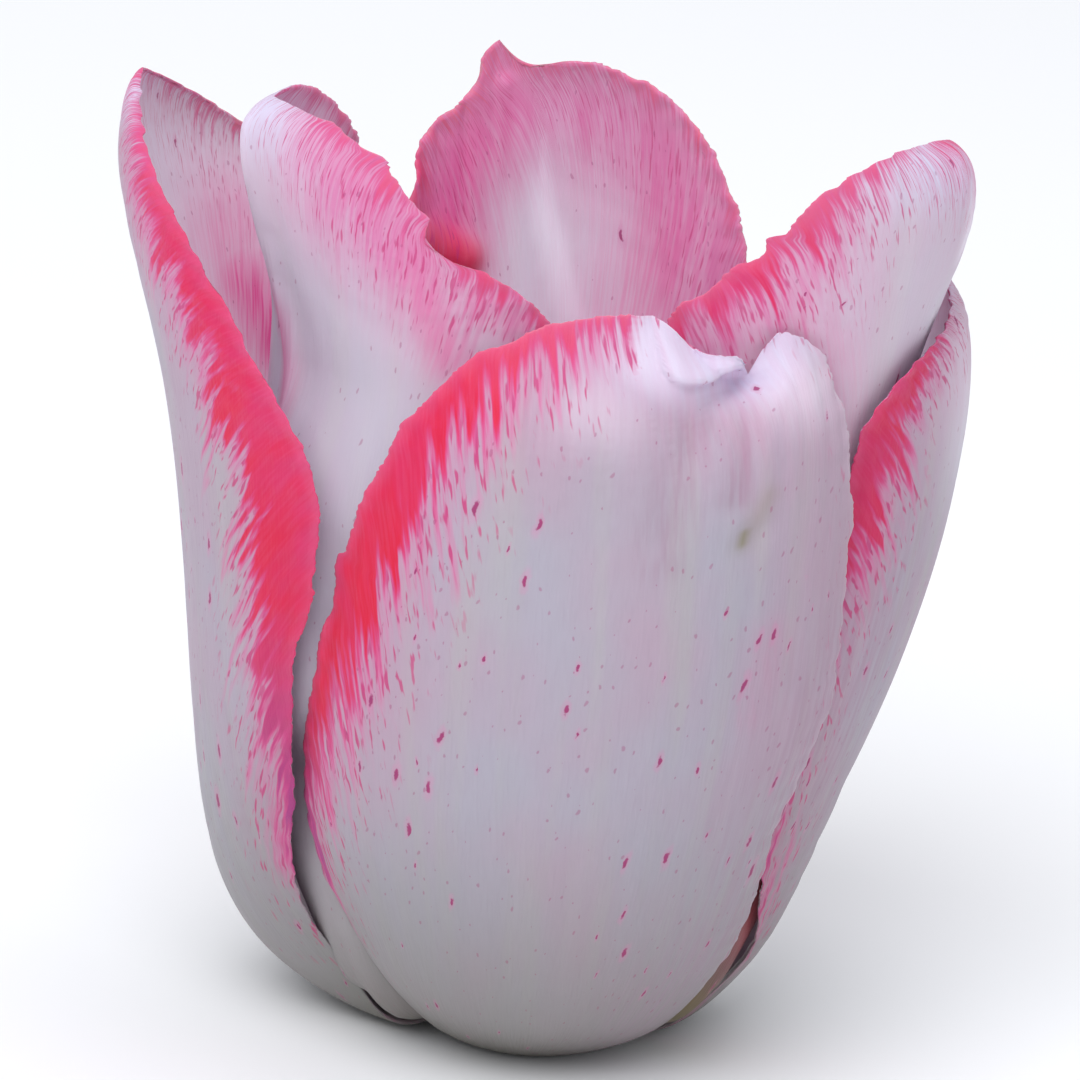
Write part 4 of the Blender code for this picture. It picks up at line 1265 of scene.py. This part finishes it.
def add_filament(index, finish):
    """A tapered stalk that bows outwards, clear of the ovary."""
    foot, outward, sideways, lean = stamen_frame(index)
    face = np.cross(sideways, lean)
    turn = round_angles(FILAMENT_SIDES)
    rings = []
    for share in np.linspace(0.0, 1.0, 40):
        bow = FILAMENT_BOW * math.sin(math.pi * share * 0.5)
        middle = foot + share * FILAMENT_LENGTH * lean + bow * outward
        radius = FILAMENT_RADIUS * (1 - 0.5 * share) * (1 + 0.03 * np.cos(7 * turn))
        ring = np.outer(radius * np.cos(turn), sideways) - np.outer(radius * np.sin(turn), face)
        rings.append(middle + ring)
    name = f"filament_{index + 1}"
    add_loft(name + "_fine", name, rings, finish)


def add_anther(index, finish):
    """A long sac of two lobes, grooved down each face and beaded with pollen."""
    foot, outward, sideways, lean = stamen_frame(index)
    start = foot + (FILAMENT_LENGTH + SEAT_GAP) * lean + FILAMENT_BOW * outward
    face = np.cross(sideways, lean)
    # share of the length, half width
    profile = np.array([(0.0, 0.45), (0.06, 1.05), (0.3, 1.35), (0.6, 1.3), (0.88, 1.0), (1.0, 0.4)])
    sides = 72
    turn = round_angles(sides)
    groove = 0.62 + 0.38 * np.abs(np.cos(turn)) ** 0.7
    rings = []
    for share in np.linspace(0.0, 1.0, 110):
        half = natural_spline(profile[:, 0], profile[:, 1:], np.array([share]))[0, 0]
        grains = np.sin(23 * turn + 5 * index) * np.sin(150 * share + 2 * np.sin(5 * turn))
        half = half + 0.035 * grains * fade(np.array(half), 0.4, 1.0)
        wide = half * np.cos(turn)
        deep = ANTHER_FLATNESS * half * np.sin(turn) * groove
        middle = start + share * ANTHER_LENGTH * lean
        rings.append(middle + np.outer(wide, sideways) - np.outer(deep, face))
    name = f"anther_{index + 1}"
    add_loft(name + "_fine", name, rings, finish)


def turned(right, up, back, at):
    """The matrix of an object at `at`, in metres, whose axes lie along right, up and back."""
    matrix = Matrix.Identity(4)
    for column, axis in enumerate((right, up, back, at)):
        for row in range(3):
            matrix[row][column] = axis[row]
    return matrix


def add_camera():
    """A long lens at the photograph's height and roll; the bloom's axis shows at AIM_PX."""
    back = np.array([0.0, -math.cos(CAMERA_ELEVATION), math.sin(CAMERA_ELEVATION)])
    level = np.array([1.0, 0.0, 0.0])
    rise = np.cross(back, level)
    right = math.cos(CAMERA_ROLL) * level + math.sin(CAMERA_ROLL) * rise
    up = np.cross(back, right)
    centre = FRAME_PX / 2
    aim = np.array([0.0, 0.0, AIM_HEIGHT])
    aim = aim + right * (centre - AIM_PX[0]) / PX_PER_MM + up * (AIM_PX[1] - centre) / PX_PER_MM
    data = bpy.data.cameras.new("camera")
    data.sensor_width = SENSOR
    data.lens = SENSOR * PX_PER_MM * CAMERA_DISTANCE / FRAME_PX
    data.clip_start = 0.01
    data.clip_end = 50.0
    camera = bpy.data.objects.new("camera", data)
    camera.matrix_world = turned(right, up, back, (aim + CAMERA_DISTANCE * back) * MM)
    bpy.context.scene.collection.objects.link(camera)
    bpy.context.scene.camera = camera


def add_area_light(name, at, size, power):
    """A round soft light at `at`, in metres, turned to the bloom."""
    data = bpy.data.lights.new(name, "AREA")
    data.shape = "DISK"
    data.size = size
    data.energy = power
    data.color = LIGHT_COLOUR
    light = bpy.data.objects.new(name, data)
    to = np.array(LIGHT_AIM) - np.array(at)
    back = -to / np.linalg.norm(to)
    right = np.cross((0.0, 1.0, 0.0) if abs(back[2]) > 0.9 else (0.0, 0.0, 1.0), back)
    right = right / np.linalg.norm(right)
    up = np.cross(back, right)
    light.matrix_world = turned(right, up, back, at)
    bpy.context.scene.collection.objects.link(light)


def add_studio():
    """A pale floor, an even pale sky and two soft lights."""
    g = Graph("floor", roughness=0.7, specular=0.2)
    grain = g.noise(g.position(), scale=6.0, detail=2.0)
    g.set("Base Color", g.mix(grain, (0.88, 0.88, 0.885), (0.90, 0.90, 0.905)))
    half = FLOOR_HALF
    corners = [(-half, -half, 0.0), (half, -half, 0.0), (half, half, 0.0), (-half, half, 0.0)]
    floor = add_mesh("floor", corners, [(0, 1, 2, 3)], g.material)
    floor.location.z = -FLOOR_DROP
    world = bpy.data.worlds.new("studio")
    world.use_nodes = True
    sky = world.node_tree.nodes["Background"]
    sky.inputs["Color"].default_value = (*SKY_COLOUR, 1.0)
    sky.inputs["Strength"].default_value = SKY_STRENGTH
    bpy.context.scene.world = world
    add_area_light("key", (-0.25, -0.75, 0.95), 1.0, 11.0)
    add_area_light("overhead", (0.1, 0.1, 0.9), 0.6, 1.5)
    bpy.context.scene.view_settings.view_transform = "Standard"


def main():
    add_camera()
    add_studio()
    finish = tepal_material("tepal")
    for number, (node, tepal) in enumerate(TEPALS.items()):
        add_tepal(node, tepal, 1.7 * number, finish)
    add_receptacle(plain_material("stem_green", (0.24, 0.34, 0.11), (0.34, 0.42, 0.18), 0.6, 0.5))
    add_pistil(pistil_material("pistil"))
    filament_finish = plain_material("filament", (0.66, 0.68, 0.46), (0.74, 0.72, 0.54), 0.55, 0.4)
    pollen = plain_material("pollen", (0.05, 0.018, 0.045), (0.13, 0.05, 0.10), 0.85, 0.12)
    for index in range(STAMENS):
        add_filament(index, filament_finish)
        add_anther(index, pollen)


main()
